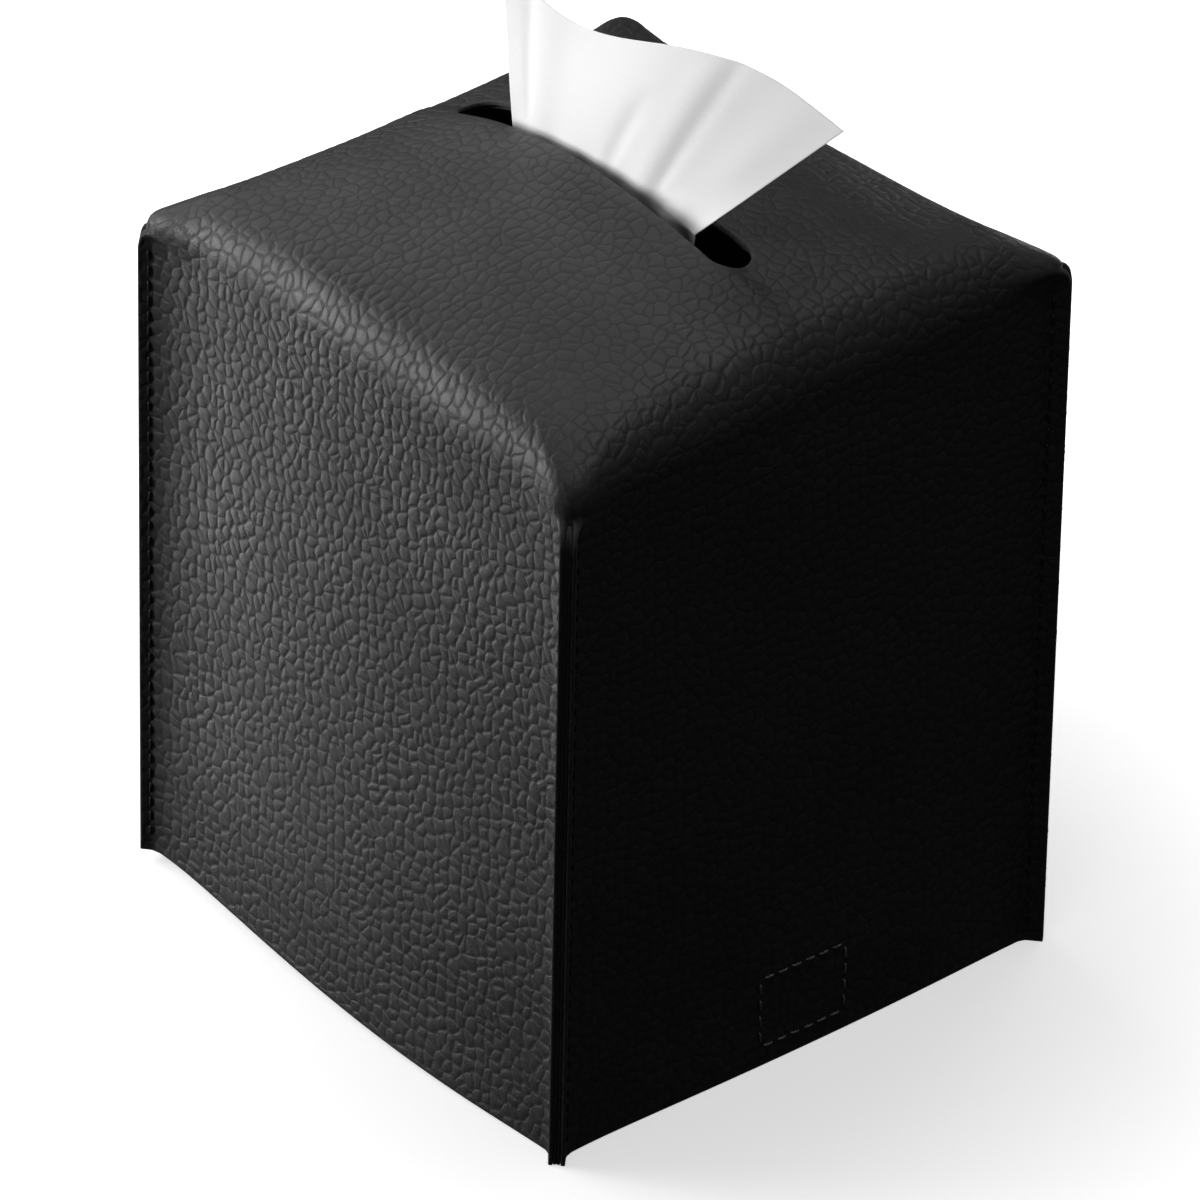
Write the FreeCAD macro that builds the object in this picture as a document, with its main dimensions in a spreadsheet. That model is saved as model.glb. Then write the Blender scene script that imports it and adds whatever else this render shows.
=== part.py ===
"""Square leather cover for an upright carton of tissues, with a dispensing slot and a belt under the carton.

One cross-cut blank makes the top and the four walls. The corner seams are sewn wrong sides together, so each
corner has a fin of two leather leaves with the lining between them. Two straps sewn inside the side walls
meet under the carton on a touch fastener, and a folded tissue stands in the slot.

Frame: +Z up, X along the slot, origin on the resting plane under the middle of the cover. Millimetres.
"""
import FreeCAD
import Part
import math
import os

# Driving dimensions: name, value, meaning
SIZES = (
    ("width", 120.0, "cover, wall face to wall face, both ways"),
    ("height", 155.0, "resting plane to the crest of the domed top"),
    ("crown", 9.0, "fall of the domed top from its crest to its corners"),
    ("bend_radius", 9.0, "outside bend from the top to the walls"),
    ("leather", 0.9, "thickness of the outer skin"),
    ("lining", 0.7, "thickness of the backing inside the skin"),
    ("fin_reach", 2.8, "corner fin beyond the corner, along the diagonal"),
    ("fin_drop", 5.0, "top of the fins below the corners of the top"),
    ("slot_length", 81.0, "dispensing slot, end to end"),
    ("slot_width", 9.0, "dispensing slot, lip to lip"),
    ("thread", 0.5, "thickness of the sewing thread"),
    ("stitch_length", 2.6, "one stitch on the surface"),
    ("stitch_pitch", 3.4, "one stitch to the next"),
    ("fin_seam_inset", 3.4, "corner seam behind the outer edge of the fin"),
    ("fin_seam_margin", 3.0, "ends of the corner seam short of the ends of the fin"),
    ("strap_width", 25.0, "belt straps"),
    ("strap_thickness", 1.2, "belt straps"),
    ("strap_seam_inset", 2.0, "box of stitches inside the edges of a strap"),
    ("anchor_seam_height", 15.0, "box of stitches on a wall, bottom row to top row"),
    ("hook_length", 93.0, "free length of the lower strap"),
    ("loop_length", 52.0, "free length of the upper strap"),
    ("patch_length", 28.0, "touch fastener along the strap"),
    ("patch_thickness", 1.2, "touch fastener"),
    ("patch_inset", 1.5, "touch fastener inside the edges and the tip of a strap"),
    ("floor_gap", 0.3, "belt thread above the resting plane"),
    ("touch_gap", 0.3, "between the two halves of the touch fastener"),
    ("fold_gap", 0.3, "free strap to its sewn end and to the wall"),
    ("tissue_width", 53.0, "tissue where it leaves the slot"),
    ("tissue_thickness", 0.8, "plies of the tissue together"),
    ("tissue_rise", 40.0, "left corner of the tissue above the crest"),
    ("tissue_middle_rise", 27.0, "middle of its top edge above the crest"),
    ("tissue_right_rise", 31.0, "right corner of the tissue above the crest"),
    ("tissue_tail", 12.0, "tissue below the crest"),
    ("tissue_fan_left", 4.0, "spread of the tissue to the left over its rise"),
    ("tissue_fan_right", 33.0, "spread of the tissue to the right over its rise"),
    ("tissue_lean", 19.0, "lean of its right edge to the back over its rise"),
    ("tissue_fold", 5.5, "depth of the folds at the top of the tissue"),
    ("slot_clearance", 0.3, "tissue to the lips of the slot"),
    ("overrun", 5.0, "cutters beyond what they cut"),
)

# Backward lean of the tissue where its folds meet, from its left edge to its right edge
TISSUE_LEAN_SHARES = (0.0, 0.1, 0.3, 0.5, 0.8, 1.0)
# Levels of the tissue between the slot and its highest corner
TISSUE_LEVEL_SHARES = (0.0, 0.2, 0.5, 1.0)

SIDES = {"right": 1, "left": -1}
CORNERS = {"front_left": (-1, -1), "front_right": (1, -1), "back_left": (-1, 1), "back_right": (1, 1)}

X_AXIS = FreeCAD.Vector(1, 0, 0)
Y_AXIS = FreeCAD.Vector(0, 1, 0)
Z_AXIS = FreeCAD.Vector(0, 0, 1)

# Places that several pieces share, in terms of the driving dimensions
WALL = "(sizes.leather + sizes.lining)"
INNER_HALF = f"(sizes.width / 2 - {WALL})"
DOME_RADIUS = "((sizes.width ^ 2 / 2 + sizes.crown ^ 2) / (2 * sizes.crown))"
FIN_TOP = "(sizes.height - sizes.crown - sizes.fin_drop)"
FIN_TIP = "(sizes.width / sqrt(2) + sizes.fin_reach)"
FOLD_X = f"({INNER_HALF} - sizes.fold_gap - sizes.strap_thickness / 2)"
HOOK_FOLD_Z = "(sizes.floor_gap + sizes.thread + sizes.strap_thickness / 2)"
BELT_STEP = "(sizes.strap_thickness + 2 * sizes.patch_thickness + sizes.touch_gap)"
LOOP_FOLD_Z = f"({HOOK_FOLD_Z} + {BELT_STEP})"
ANCHOR_GAP = "(sizes.strap_thickness / 2 + sizes.fold_gap)"
PATCH_WIDTH = "(sizes.strap_width - 2 * sizes.patch_inset)"

doc = FreeCAD.newDocument("tissue_box_cover")
sheet = doc.addObject("Spreadsheet::Sheet", "sizes")
for row, (alias, value, meaning) in enumerate(SIZES, start=1):
    sheet.set(f"A{row}", meaning)
    sheet.set(f"B{row}", str(value))
    sheet.setAlias(f"B{row}", alias)
doc.recompute()


def size(expression):
    """Return the value of an expression in the driving dimensions."""
    return float(sheet.evalExpression(expression.replace("sizes.", "")))


def bind(item, **expressions):
    """Bind properties of an object to the driving dimensions."""
    for name, expression in expressions.items():
        item.setExpression(name, expression)


def place(item, x="0", y="0", z="0"):
    """Bind the place of an object to the driving dimensions."""
    for axis, expression in (("x", x), ("y", y), ("z", z)):
        item.setExpression(f".Placement.Base.{axis}", expression)


def box(name, corner, extent):
    """Make a box from the expressions of its lowest corner and its extents."""
    item = doc.addObject("Part::Box", name)
    bind(item, Length=extent[0], Width=extent[1], Height=extent[2])
    place(item, *corner)
    return item


def combine(kind, name, *items):
    """Join, cut or intersect objects into a new one."""
    item = doc.addObject(kind, name)
    if kind == "Part::MultiFuse":
        item.Shapes = list(items)
    else:
        item.Base, item.Tool = items
    return item


def piece(name, shape):
    """Make a document object of a shape that is built in code."""
    item = doc.addObject("Part::Feature", name)
    item.Shape = shape
    item.Placement = FreeCAD.Placement()
    return item


# Cover


def cover_form(name, inset):
    """Make the filled form of the cover, set in from its outside by a thickness."""
    half = f"(sizes.width / 2 - {inset})"
    side = f"2 * {half}"
    block = box(f"{name}_block", (f"-{half}", f"-{half}", "0"), (side, side, "sizes.height"))
    dome = doc.addObject("Part::Sphere", f"{name}_dome")
    bind(dome, Radius=f"{DOME_RADIUS} - {inset}")
    dome.Placement.Rotation = FreeCAD.Rotation(X_AXIS, -Z_AXIS)
    place(dome, z=f"sizes.height - {DOME_RADIUS}")
    domed = combine("Part::Common", f"{name}_domed", block, dome)
    doc.recompute()

    body = doc.addObject("PartDesign::Body", name)
    body.BaseFeature = domed
    doc.recompute()
    base = body.Tip
    eaves = size("sizes.height - sizes.crown - sizes.bend_radius")
    edges = [f"Edge{i}" for i, edge in enumerate(base.Shape.Edges, start=1) if edge.BoundBox.ZMin > eaves]
    bend = body.newObject("PartDesign::Fillet", f"{name}_bend")
    bend.Base = (base, edges)
    bind(bend, Radius=f"sizes.bend_radius - {inset}")
    doc.recompute()
    return body


def fin_plates(name, half_thickness):
    """Make the two crossed diagonal plates whose ends are the four corner fins."""
    along = f"{FIN_TIP} / sqrt(2)"
    aside = f"{half_thickness} / sqrt(2)"
    plates = []
    for way, sign in (("rising", 1), ("falling", -1)):
        corner = (f"{sign} * {aside} - {along}", f"{-sign} * {along} - {aside}", "0")
        plate = box(f"{name}_{way}", corner, (f"2 * {FIN_TIP}", f"2 * {half_thickness}", FIN_TOP))
        plate.Placement.Rotation = FreeCAD.Rotation(X_AXIS, X_AXIS + Y_AXIS * sign)
        plates.append(plate)
    return plates


def slot_cutter():
    """Make the cutter of the round-ended dispensing slot."""
    straight = "(sizes.slot_length - sizes.slot_width)"
    half = "sizes.slot_width / 2"
    depth = f"sizes.height + sizes.overrun - {FIN_TOP}"
    corner = (f"-{straight} / 2", f"-{half}", FIN_TOP)
    parts = [box("slot_middle", corner, (straight, "sizes.slot_width", depth))]
    for side, sign in SIDES.items():
        end = doc.addObject("Part::Cylinder", f"slot_{side}_end")
        bind(end, Radius=half, Height=depth)
        place(end, x=f"{sign} * {straight} / 2", z=FIN_TOP)
        parts.append(end)
    return combine("Part::MultiFuse", "slot_cutter", *parts)


def build_cover():
    """Make the leather skin and the lining inside it."""
    outer = cover_form("outer_form", "0")
    middle = cover_form("middle_form", "sizes.leather")
    inner = cover_form("inner_form", WALL)
    outside = combine("Part::MultiFuse", "outside", outer, *fin_plates("fin_outside", WALL))
    between = combine("Part::MultiFuse", "between", middle, *fin_plates("fin_between", "sizes.lining"))
    slot = slot_cutter()
    skin = combine("Part::Cut", "skin", outside, between)
    backing = combine("Part::Cut", "backing", between, inner)
    return [
        combine("Part::Cut", "leather_shell", skin, slot),
        combine("Part::Cut", "lining", backing, slot),
    ]


# Sewing


def stitch(length, span, thread):
    """Make one closed loop of thread, lying along X and passing through a span along Y."""
    corner = FreeCAD.Vector(-length / 2, -span / 2 - thread, -thread / 2)
    outside = Part.makeBox(length, span + 2 * thread, thread, corner)
    inside = Part.makeBox(length - 2 * thread, span, thread, corner + FreeCAD.Vector(thread, thread, 0))
    return outside.cut(inside)


def seam(start, end, through, span):
    """Make a row of stitches from one point to another, through a span along a direction."""
    pitch = size("sizes.stitch_pitch")
    run = end - start
    along = FreeCAD.Vector(run).normalize()
    count = max(1, round(run.Length / pitch))
    loop = stitch(size("sizes.stitch_length"), span, size("sizes.thread"))
    turn = FreeCAD.Rotation(along, through, along.cross(through), "XYZ")
    stitches = []
    for index in range(count):
        copy = loop.copy()
        copy.Placement = FreeCAD.Placement(start + run * ((index + 1 / 2) / count), turn)
        stitches.append(copy)
    return stitches


def seam_box(centre, across, up, through, span):
    """Make the four rows of a rectangle of stitches, from its centre and its two half sides."""
    corners = [centre - across - up, centre + across - up, centre + across + up, centre - across + up]
    clear = size("sizes.thread")
    stitches = []
    for start, end in zip(corners, corners[1:] + corners[:1]):
        step = FreeCAD.Vector(end - start).normalize() * clear
        stitches += seam(start + step, end - step, through, span)
    return stitches


def build_corner_seams():
    """Make the row of stitches along the root of each corner fin."""
    reach = size(f"{FIN_TIP} - sizes.fin_seam_inset") / math.sqrt(2)
    low = size("sizes.fin_seam_margin")
    high = size(f"{FIN_TOP} - sizes.fin_seam_margin")
    rows = []
    for corner, (side, depth) in CORNERS.items():
        start = FreeCAD.Vector(side * reach, depth * reach, low)
        end = FreeCAD.Vector(side * reach, depth * reach, high)
        through = FreeCAD.Vector(-depth, side, 0).normalize()
        stitches = seam(start, end, through, size(f"2 * {WALL}"))
        rows.append(piece(f"corner_stitches_{corner}", Part.makeCompound(stitches)))
    return rows


# Belt


def build_anchor(kind, side, fold_z):
    """Make the end of a strap that is sewn inside a wall, and the box of stitches that holds it."""
    sign = SIDES[side]
    bottom = f"{fold_z} + {ANCHOR_GAP}"
    tall = "(sizes.anchor_seam_height + 2 * sizes.strap_seam_inset)"
    near = f"{INNER_HALF} - sizes.strap_thickness" if sign > 0 else f"-{INNER_HALF}"
    anchor = box(
        f"{kind}_strap_anchor",
        (near, "-sizes.strap_width / 2", bottom),
        ("sizes.strap_thickness", "sizes.strap_width", tall),
    )
    span = size(f"{WALL} + sizes.strap_thickness")
    centre = FreeCAD.Vector(sign * (size("sizes.width / 2") - span / 2), 0, size(f"{bottom} + {tall} / 2"))
    across = Y_AXIS * size("sizes.strap_width / 2 - sizes.strap_seam_inset")
    up = Z_AXIS * size("sizes.anchor_seam_height / 2")
    stitches = seam_box(centre, across, up, X_AXIS, span)
    return [anchor, piece(f"belt_stitches_{side}", Part.makeCompound(stitches))]


def build_strap(kind, side, fold_z, length, patch_above):
    """Make the free part of a strap, its half of the touch fastener and the stitches between them."""
    sign = SIDES[side]
    half = "sizes.strap_thickness / 2"
    start = f"{FOLD_X} - {length}" if sign > 0 else f"-{FOLD_X}"
    flat = box(
        f"{kind}_strap_flat",
        (start, "-sizes.strap_width / 2", f"{fold_z} - {half}"),
        (length, "sizes.strap_width", "sizes.strap_thickness"),
    )
    root = doc.addObject("Part::Cylinder", f"{kind}_strap_root")
    bind(root, Radius=half, Height="sizes.strap_width")
    root.Placement.Rotation = FreeCAD.Rotation(Z_AXIS, Y_AXIS)
    place(root, x=f"{sign} * {FOLD_X}", y="-sizes.strap_width / 2", z=fold_z)
    strap = combine("Part::MultiFuse", f"{kind}_strap", flat, root)

    tip = f"({length} - sizes.patch_inset)"
    patch_start = f"{FOLD_X} - {tip}" if sign > 0 else f"{tip} - {FOLD_X} - sizes.patch_length"
    patch_low = f"{fold_z} + {half}" if patch_above else f"{fold_z} - {half} - sizes.patch_thickness"
    patch = box(
        f"{kind}_patch",
        (patch_start, f"-{PATCH_WIDTH} / 2", patch_low),
        ("sizes.patch_length", PATCH_WIDTH, "sizes.patch_thickness"),
    )

    inset = "sizes.patch_inset + sizes.thread"
    facing = 1 if patch_above else -1
    thread = size("sizes.thread")
    span = size("sizes.strap_thickness + sizes.patch_thickness") - thread
    middle = size(fold_z) + facing * (span - size("sizes.strap_thickness")) / 2
    centre = FreeCAD.Vector(size(f"{patch_start} + sizes.patch_length / 2"), 0, middle)
    across = X_AXIS * size(f"sizes.patch_length / 2 - ({inset})")
    up = Y_AXIS * size(f"{PATCH_WIDTH} / 2 - ({inset})")
    stitches = seam_box(centre, across, up, Z_AXIS, span)
    return [strap, patch, piece(f"{kind}_patch_stitches", Part.makeCompound(stitches))]


def build_belt():
    """Make the two straps of the belt with all that is sewn to them."""
    return [
        *build_anchor("hook", "right", HOOK_FOLD_Z),
        *build_anchor("loop", "left", LOOP_FOLD_Z),
        *build_strap("hook", "right", HOOK_FOLD_Z, "sizes.hook_length", patch_above=True),
        *build_strap("loop", "left", LOOP_FOLD_Z, "sizes.loop_length", patch_above=False),
    ]


# Tissue


def tissue_section(points, fold, thickness):
    """Make the closed outline of the folded tissue at one level: arcs there and back, and two ends."""
    front = Y_AXIS * (-thickness / 2)
    folds = []
    for index, (start, end) in enumerate(zip(points, points[1:])):
        bulge = Y_AXIS * (fold if index % 2 else -fold)
        folds.append((start, (start + end) * (1 / 2) + bulge, end))
    edges = [Part.Arc(*(point + front for point in arc)).toShape() for arc in folds]
    edges.append(Part.makeLine(points[-1] + front, points[-1] - front))
    edges += [Part.Arc(*(point - front for point in reversed(arc))).toShape() for arc in reversed(folds)]
    edges.append(Part.makeLine(points[0] - front, points[0] + front))
    return Part.Wire(edges)


def build_tissue():
    """Make the tissue that stands in the slot: a straight tail and a leaning fan of folds above it."""
    thickness = size("sizes.tissue_thickness")
    slot_fold = size("sizes.slot_width / 2 - sizes.slot_clearance") - thickness / 2
    top_fold = size("sizes.tissue_fold")
    width = size("sizes.tissue_width")
    crest = size("sizes.height")
    rise = size("sizes.tissue_rise")
    left = size("sizes.tissue_fan_left")
    right = size("sizes.tissue_fan_right")
    lean = size("sizes.tissue_lean")
    last = len(TISSUE_LEAN_SHARES) - 1

    slot_points = [FreeCAD.Vector(width * (k / last - 1 / 2), 0, crest) for k in range(last + 1)]
    ways = [
        FreeCAD.Vector((left + right) * k / last - left, lean * share, rise)
        for k, share in enumerate(TISSUE_LEAN_SHARES)
    ]
    tail = Z_AXIS * size("sizes.tissue_tail")
    sections = [tissue_section([point - tail for point in slot_points], slot_fold, thickness)]
    for level in TISSUE_LEVEL_SHARES:
        points = [point + way * level for point, way in zip(slot_points, ways)]
        sections.append(tissue_section(points, slot_fold + (top_fold - slot_fold) * level, thickness))
    fan = Part.makeLoft(sections, True, True)

    depth = Y_AXIS * (lean + 2 * top_fold)
    overrun = size("sizes.overrun")
    right_corner = slot_points[-1] + ways[-1] * (size("sizes.tissue_right_rise") / rise)
    low_x = slot_points[0].x + ways[0].x - overrun
    high_x = slot_points[-1].x + ways[-1].x + overrun
    outline = [
        (low_x, crest + rise),
        (slot_points[0].x + ways[0].x, crest + rise),
        (0, crest + size("sizes.tissue_middle_rise")),
        (right_corner.x, right_corner.z),
        (high_x, right_corner.z),
        (high_x, crest + rise + overrun),
        (low_x, crest + rise + overrun),
    ]
    corners = [FreeCAD.Vector(x, 0, z) - depth for x, z in outline]
    waste = Part.Face(Part.makePolygon(corners + corners[:1])).extrude(depth * 2)
    return [piece("tissue_sheet", fan.cut(waste))]


# Checks and output


def write(pieces):
    """Check every object of the document, then write each piece to its own file."""
    doc.recompute()
    for item in doc.Objects:
        if "Invalid" in item.State or "Error" in item.State:
            raise RuntimeError(f"{item.Name} failed: {item.State}")
    for item in pieces:
        if item.Shape.isNull() or not item.Shape.isValid() or item.Shape.Volume <= 0:
            raise RuntimeError(f"{item.Label} has no valid shape")
    os.makedirs("parts", exist_ok=True)
    for item in pieces:
        item.Shape.exportStep(os.path.join("parts", f"{item.Label}.step"))
        extent = item.Shape.BoundBox
        print(f"{item.Label}: {len(item.Shape.Solids)} solids, {item.Shape.Volume:.1f} mm3,"
              f" {extent.XLength:.1f} x {extent.YLength:.1f} x {extent.ZLength:.1f} mm")


write([*build_cover(), *build_corner_seams(), *build_belt(), *build_tissue()])
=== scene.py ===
"""Looks of a soft square cover for an upright carton of tissues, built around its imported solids.

The cover is one blank of pebbled leather with a felt lining and a fin at each corner seam. A belt of two
straps closes under the carton, and a tissue stands in the slot of the domed top. Lengths are in millimetres
in the row frame until a mesh is written, in metres.
"""
import logging
import math
from dataclasses import dataclass, field
from enum import Enum
from typing import Any, Callable, Optional, Sequence

import bpy
import numpy as np
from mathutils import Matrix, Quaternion, Vector
from mathutils.geometry import tessellate_polygon


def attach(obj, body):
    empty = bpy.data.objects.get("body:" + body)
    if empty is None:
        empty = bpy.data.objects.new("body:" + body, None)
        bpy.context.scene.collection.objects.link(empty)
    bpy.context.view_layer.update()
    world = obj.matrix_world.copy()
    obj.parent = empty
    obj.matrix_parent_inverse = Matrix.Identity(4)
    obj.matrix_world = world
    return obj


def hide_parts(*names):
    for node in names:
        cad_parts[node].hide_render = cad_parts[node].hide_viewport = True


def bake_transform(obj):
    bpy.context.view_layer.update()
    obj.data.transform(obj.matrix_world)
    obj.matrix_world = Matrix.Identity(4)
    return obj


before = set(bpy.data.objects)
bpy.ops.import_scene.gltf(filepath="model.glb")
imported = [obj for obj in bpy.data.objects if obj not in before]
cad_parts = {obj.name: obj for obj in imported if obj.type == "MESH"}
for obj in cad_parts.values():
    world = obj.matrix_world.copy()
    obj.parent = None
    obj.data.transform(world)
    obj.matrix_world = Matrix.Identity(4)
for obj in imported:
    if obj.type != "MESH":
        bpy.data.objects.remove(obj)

LOG = logging.getLogger("cover")
MM = 0.001
QUARTER_TURN = math.pi / 2
LAY = "lay"
RELIEF = "relief"

Array = np.ndarray
Socket = bpy.types.NodeSocket
Setting = Any


def smooth(value: Array, low: float, high: float) -> Array:
    """Return an eased step from 0 at low to 1 at high."""
    share = np.clip((np.asarray(value, float) - low) / (high - low), 0.0, 1.0)
    return share * share * (3.0 - 2.0 * share)


def ripple(first: Array, second: Array, pitch: float, seed: int) -> Array:
    """Return a slow, even-tempered swell over two coordinates.

    Args:
        first: First coordinate, in millimetres.
        second: Second coordinate, in millimetres.
        pitch: Mean distance from crest to crest.
        seed: Picks the directions and phases.

    Returns:
        Heights from about -1 to 1.
    """
    draw = np.random.default_rng(seed)
    total = np.zeros(np.broadcast(first, second).shape)
    for _ in range(6):
        angle, phase = draw.uniform(0, 2 * math.pi, 2)
        turn = 2 * math.pi / (pitch * draw.uniform(0.7, 1.5))
        total += np.sin(turn * (first * math.cos(angle) + second * math.sin(angle)) + phase)
    return total / 3.0


class Side(Enum):
    """Walls of the cover, in order round it."""

    FRONT = 0
    RIGHT = 1
    BACK = 2
    LEFT = 3

    @property
    def along(self) -> Array:
        """Direction along the wall, anticlockwise seen from above."""
        return np.array([(1.0, 0.0), (0.0, 1.0), (-1.0, 0.0), (0.0, -1.0)][self.value])

    @property
    def out(self) -> Array:
        """Direction out of the wall."""
        return np.array([(0.0, -1.0), (1.0, 0.0), (0.0, 1.0), (-1.0, 0.0)][self.value])


class Corner(Enum):
    """Corner seams, each named for the end of the wall that comes before it."""

    FRONT_RIGHT = 0
    BACK_RIGHT = 1
    BACK_LEFT = 2
    FRONT_LEFT = 3

    @property
    def out(self) -> Array:
        """Direction out of the corner along its diagonal."""
        return (Side(self.value).along + Side(self.value).out) / math.sqrt(2)

    @property
    def across(self) -> Array:
        """Direction through the fin of the corner."""
        return (Side(self.value).along - Side(self.value).out) / math.sqrt(2)


# Meshes


@dataclass
class MeshParts:
    """Points, faces and point values of one piece, gathered before its mesh is written."""

    points: list[Array] = field(default_factory=list)
    lay: list[Array] = field(default_factory=list)
    relief: list[Array] = field(default_factory=list)
    faces: list[Array] = field(default_factory=list)
    slots: list[Array] = field(default_factory=list)
    maps: list[Array] = field(default_factory=list)
    count: int = 0

    def add(
        self,
        points: Array,
        faces: Array,
        lay: Optional[Array] = None,
        relief: float | Array = 0.0,
        slot: int | Array = 0,
        bake: Optional[Array] = None,
    ) -> int:
        """Add a group of points and faces.

        Args:
            points: Points, in millimetres.
            faces: Rows of 3 or 4 point numbers within the group.
            lay: Coordinates of the points on the flat material.
            relief: Share of the surface relief at each point.
            slot: Material of the faces.
            bake: Map coordinates of each corner of each face.

        Returns:
            The number of the group's first point.
        """
        start = self.count
        points = np.asarray(points, float).reshape(-1, 3)
        faces = np.asarray(faces, int)
        self.points.append(points)
        self.lay.append(points.copy() if lay is None else np.asarray(lay, float).reshape(-1, 3))
        self.relief.append(np.broadcast_to(np.asarray(relief, float).ravel(), (len(points),)))
        self.count += len(points)
        if len(faces):
            self.add_faces(faces + start, slot, bake)
        return start

    def add_faces(self, faces: Array, slot: int | Array = 0, bake: Optional[Array] = None) -> None:
        """Add faces between points that are there already.

        Args:
            faces: Rows of 3 or 4 point numbers.
            slot: Material of the faces.
            bake: Map coordinates of each corner of each face.
        """
        self.faces.append(faces)
        self.slots.append(np.broadcast_to(np.asarray(slot, int).ravel(), (len(faces),)))
        if bake is not None:
            self.maps.append(np.asarray(bake, float).reshape(-1, 2))

    def write(self, name: str, finishes: Sequence[bpy.types.Material]) -> bpy.types.Object:
        """Write the mesh and return its object.

        Args:
            name: Name of the piece.
            finishes: Materials, in the order of the faces' slots.

        Returns:
            The object, at the origin of the row frame.
        """
        corners = np.concatenate([f.ravel() for f in self.faces])
        sizes = np.concatenate([np.full(len(f), f.shape[1]) for f in self.faces])
        mesh = bpy.data.meshes.new(name)
        mesh.vertices.add(self.count)
        mesh.vertices.foreach_set("co", (np.concatenate(self.points) * MM).astype(np.float32).ravel())
        mesh.loops.add(len(corners))
        mesh.loops.foreach_set("vertex_index", corners.astype(np.int32))
        mesh.polygons.add(len(sizes))
        mesh.polygons.foreach_set("loop_start", (np.cumsum(sizes) - sizes).astype(np.int32))
        mesh.polygons.foreach_set("material_index", np.concatenate(self.slots).astype(np.int32))
        mesh.polygons.foreach_set("use_smooth", np.ones(len(sizes), bool))
        lay = mesh.attributes.new(LAY, "FLOAT_VECTOR", "POINT")
        lay.data.foreach_set("vector", np.concatenate(self.lay).astype(np.float32).ravel())
        relief = mesh.attributes.new(RELIEF, "FLOAT", "POINT")
        relief.data.foreach_set("value", np.concatenate(self.relief).astype(np.float32))
        if self.maps:
            layer = mesh.uv_layers.new(name="OFBake")
            layer.data.foreach_set("uv", np.concatenate(self.maps).astype(np.float32).ravel())
        for finish in finishes:
            mesh.materials.append(finish)
        mesh.update(calc_edges=True)
        mesh.validate()
        item = bpy.data.objects.new(name, mesh)
        bpy.context.scene.collection.objects.link(item)
        return item


def grid_faces(rows: int, columns: int, wrap: bool, flip: bool = False) -> Array:
    """Return the quads of a grid of points, row by row.

    Args:
        rows: Rows of points.
        columns: Points in a row.
        wrap: Join the last column to the first.
        flip: Turn the faces over.

    Returns:
        Rows of four point numbers.
    """
    row = np.arange(rows - 1)[:, None] * columns
    column = np.arange(columns if wrap else columns - 1)[None, :]
    after = (column + 1) % columns
    order = [row + column, row + after, row + columns + after, row + columns + column]
    return np.stack(order[::-1] if flip else order, axis=-1).reshape(-1, 4)


def grid_border(rows: int, columns: int) -> Array:
    """Return the numbers of the points round a grid, row by row, in order along its border."""
    right = np.arange(1, rows) * columns + columns - 1
    last = (rows - 1) * columns + np.arange(columns - 2, -1, -1)
    return np.r_[np.arange(columns), right, last, np.arange(rows - 2, 0, -1) * columns]


def ring_cap(outer: Array, inner: Array, up: bool) -> Array:
    """Return triangles that fill the flat ring between two loops of points.

    Args:
        outer: The loop round the ring.
        inner: The loop within it.
        up: The triangles face up.

    Returns:
        Rows of three point numbers, the outer loop numbered first.
    """
    loops = [[Vector((x, y, 0.0)) for x, y in loop[:, :2]] for loop in (outer, inner)]
    triangles = np.array(tessellate_polygon(loops), int)
    flat = np.concatenate([outer, inner])[:, :2]
    first, second, third = (flat[triangles[:, k]] for k in range(3))
    one, two = second - first, third - first
    turned = (one[:, 0] * two[:, 1] - one[:, 1] * two[:, 0] > 0) != up
    triangles[turned] = triangles[turned][:, ::-1]
    return triangles


def tube_faces(count: int, rings: int, sides: int, closed: bool) -> Array:
    """Return the quads of many tubes whose points run tube by tube, ring by ring.

    Args:
        count: Number of tubes.
        rings: Rings of points in a tube.
        sides: Points in a ring.
        closed: Join the last ring of a tube to its first.

    Returns:
        Rows of four point numbers.
    """
    one = grid_faces(rings + 1 if closed else rings, sides, wrap=True)
    one = one % (rings * sides)
    starts = np.arange(count)[:, None, None] * rings * sides
    return (one[None] + starts).reshape(-1, 4)


# Nodes


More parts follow.
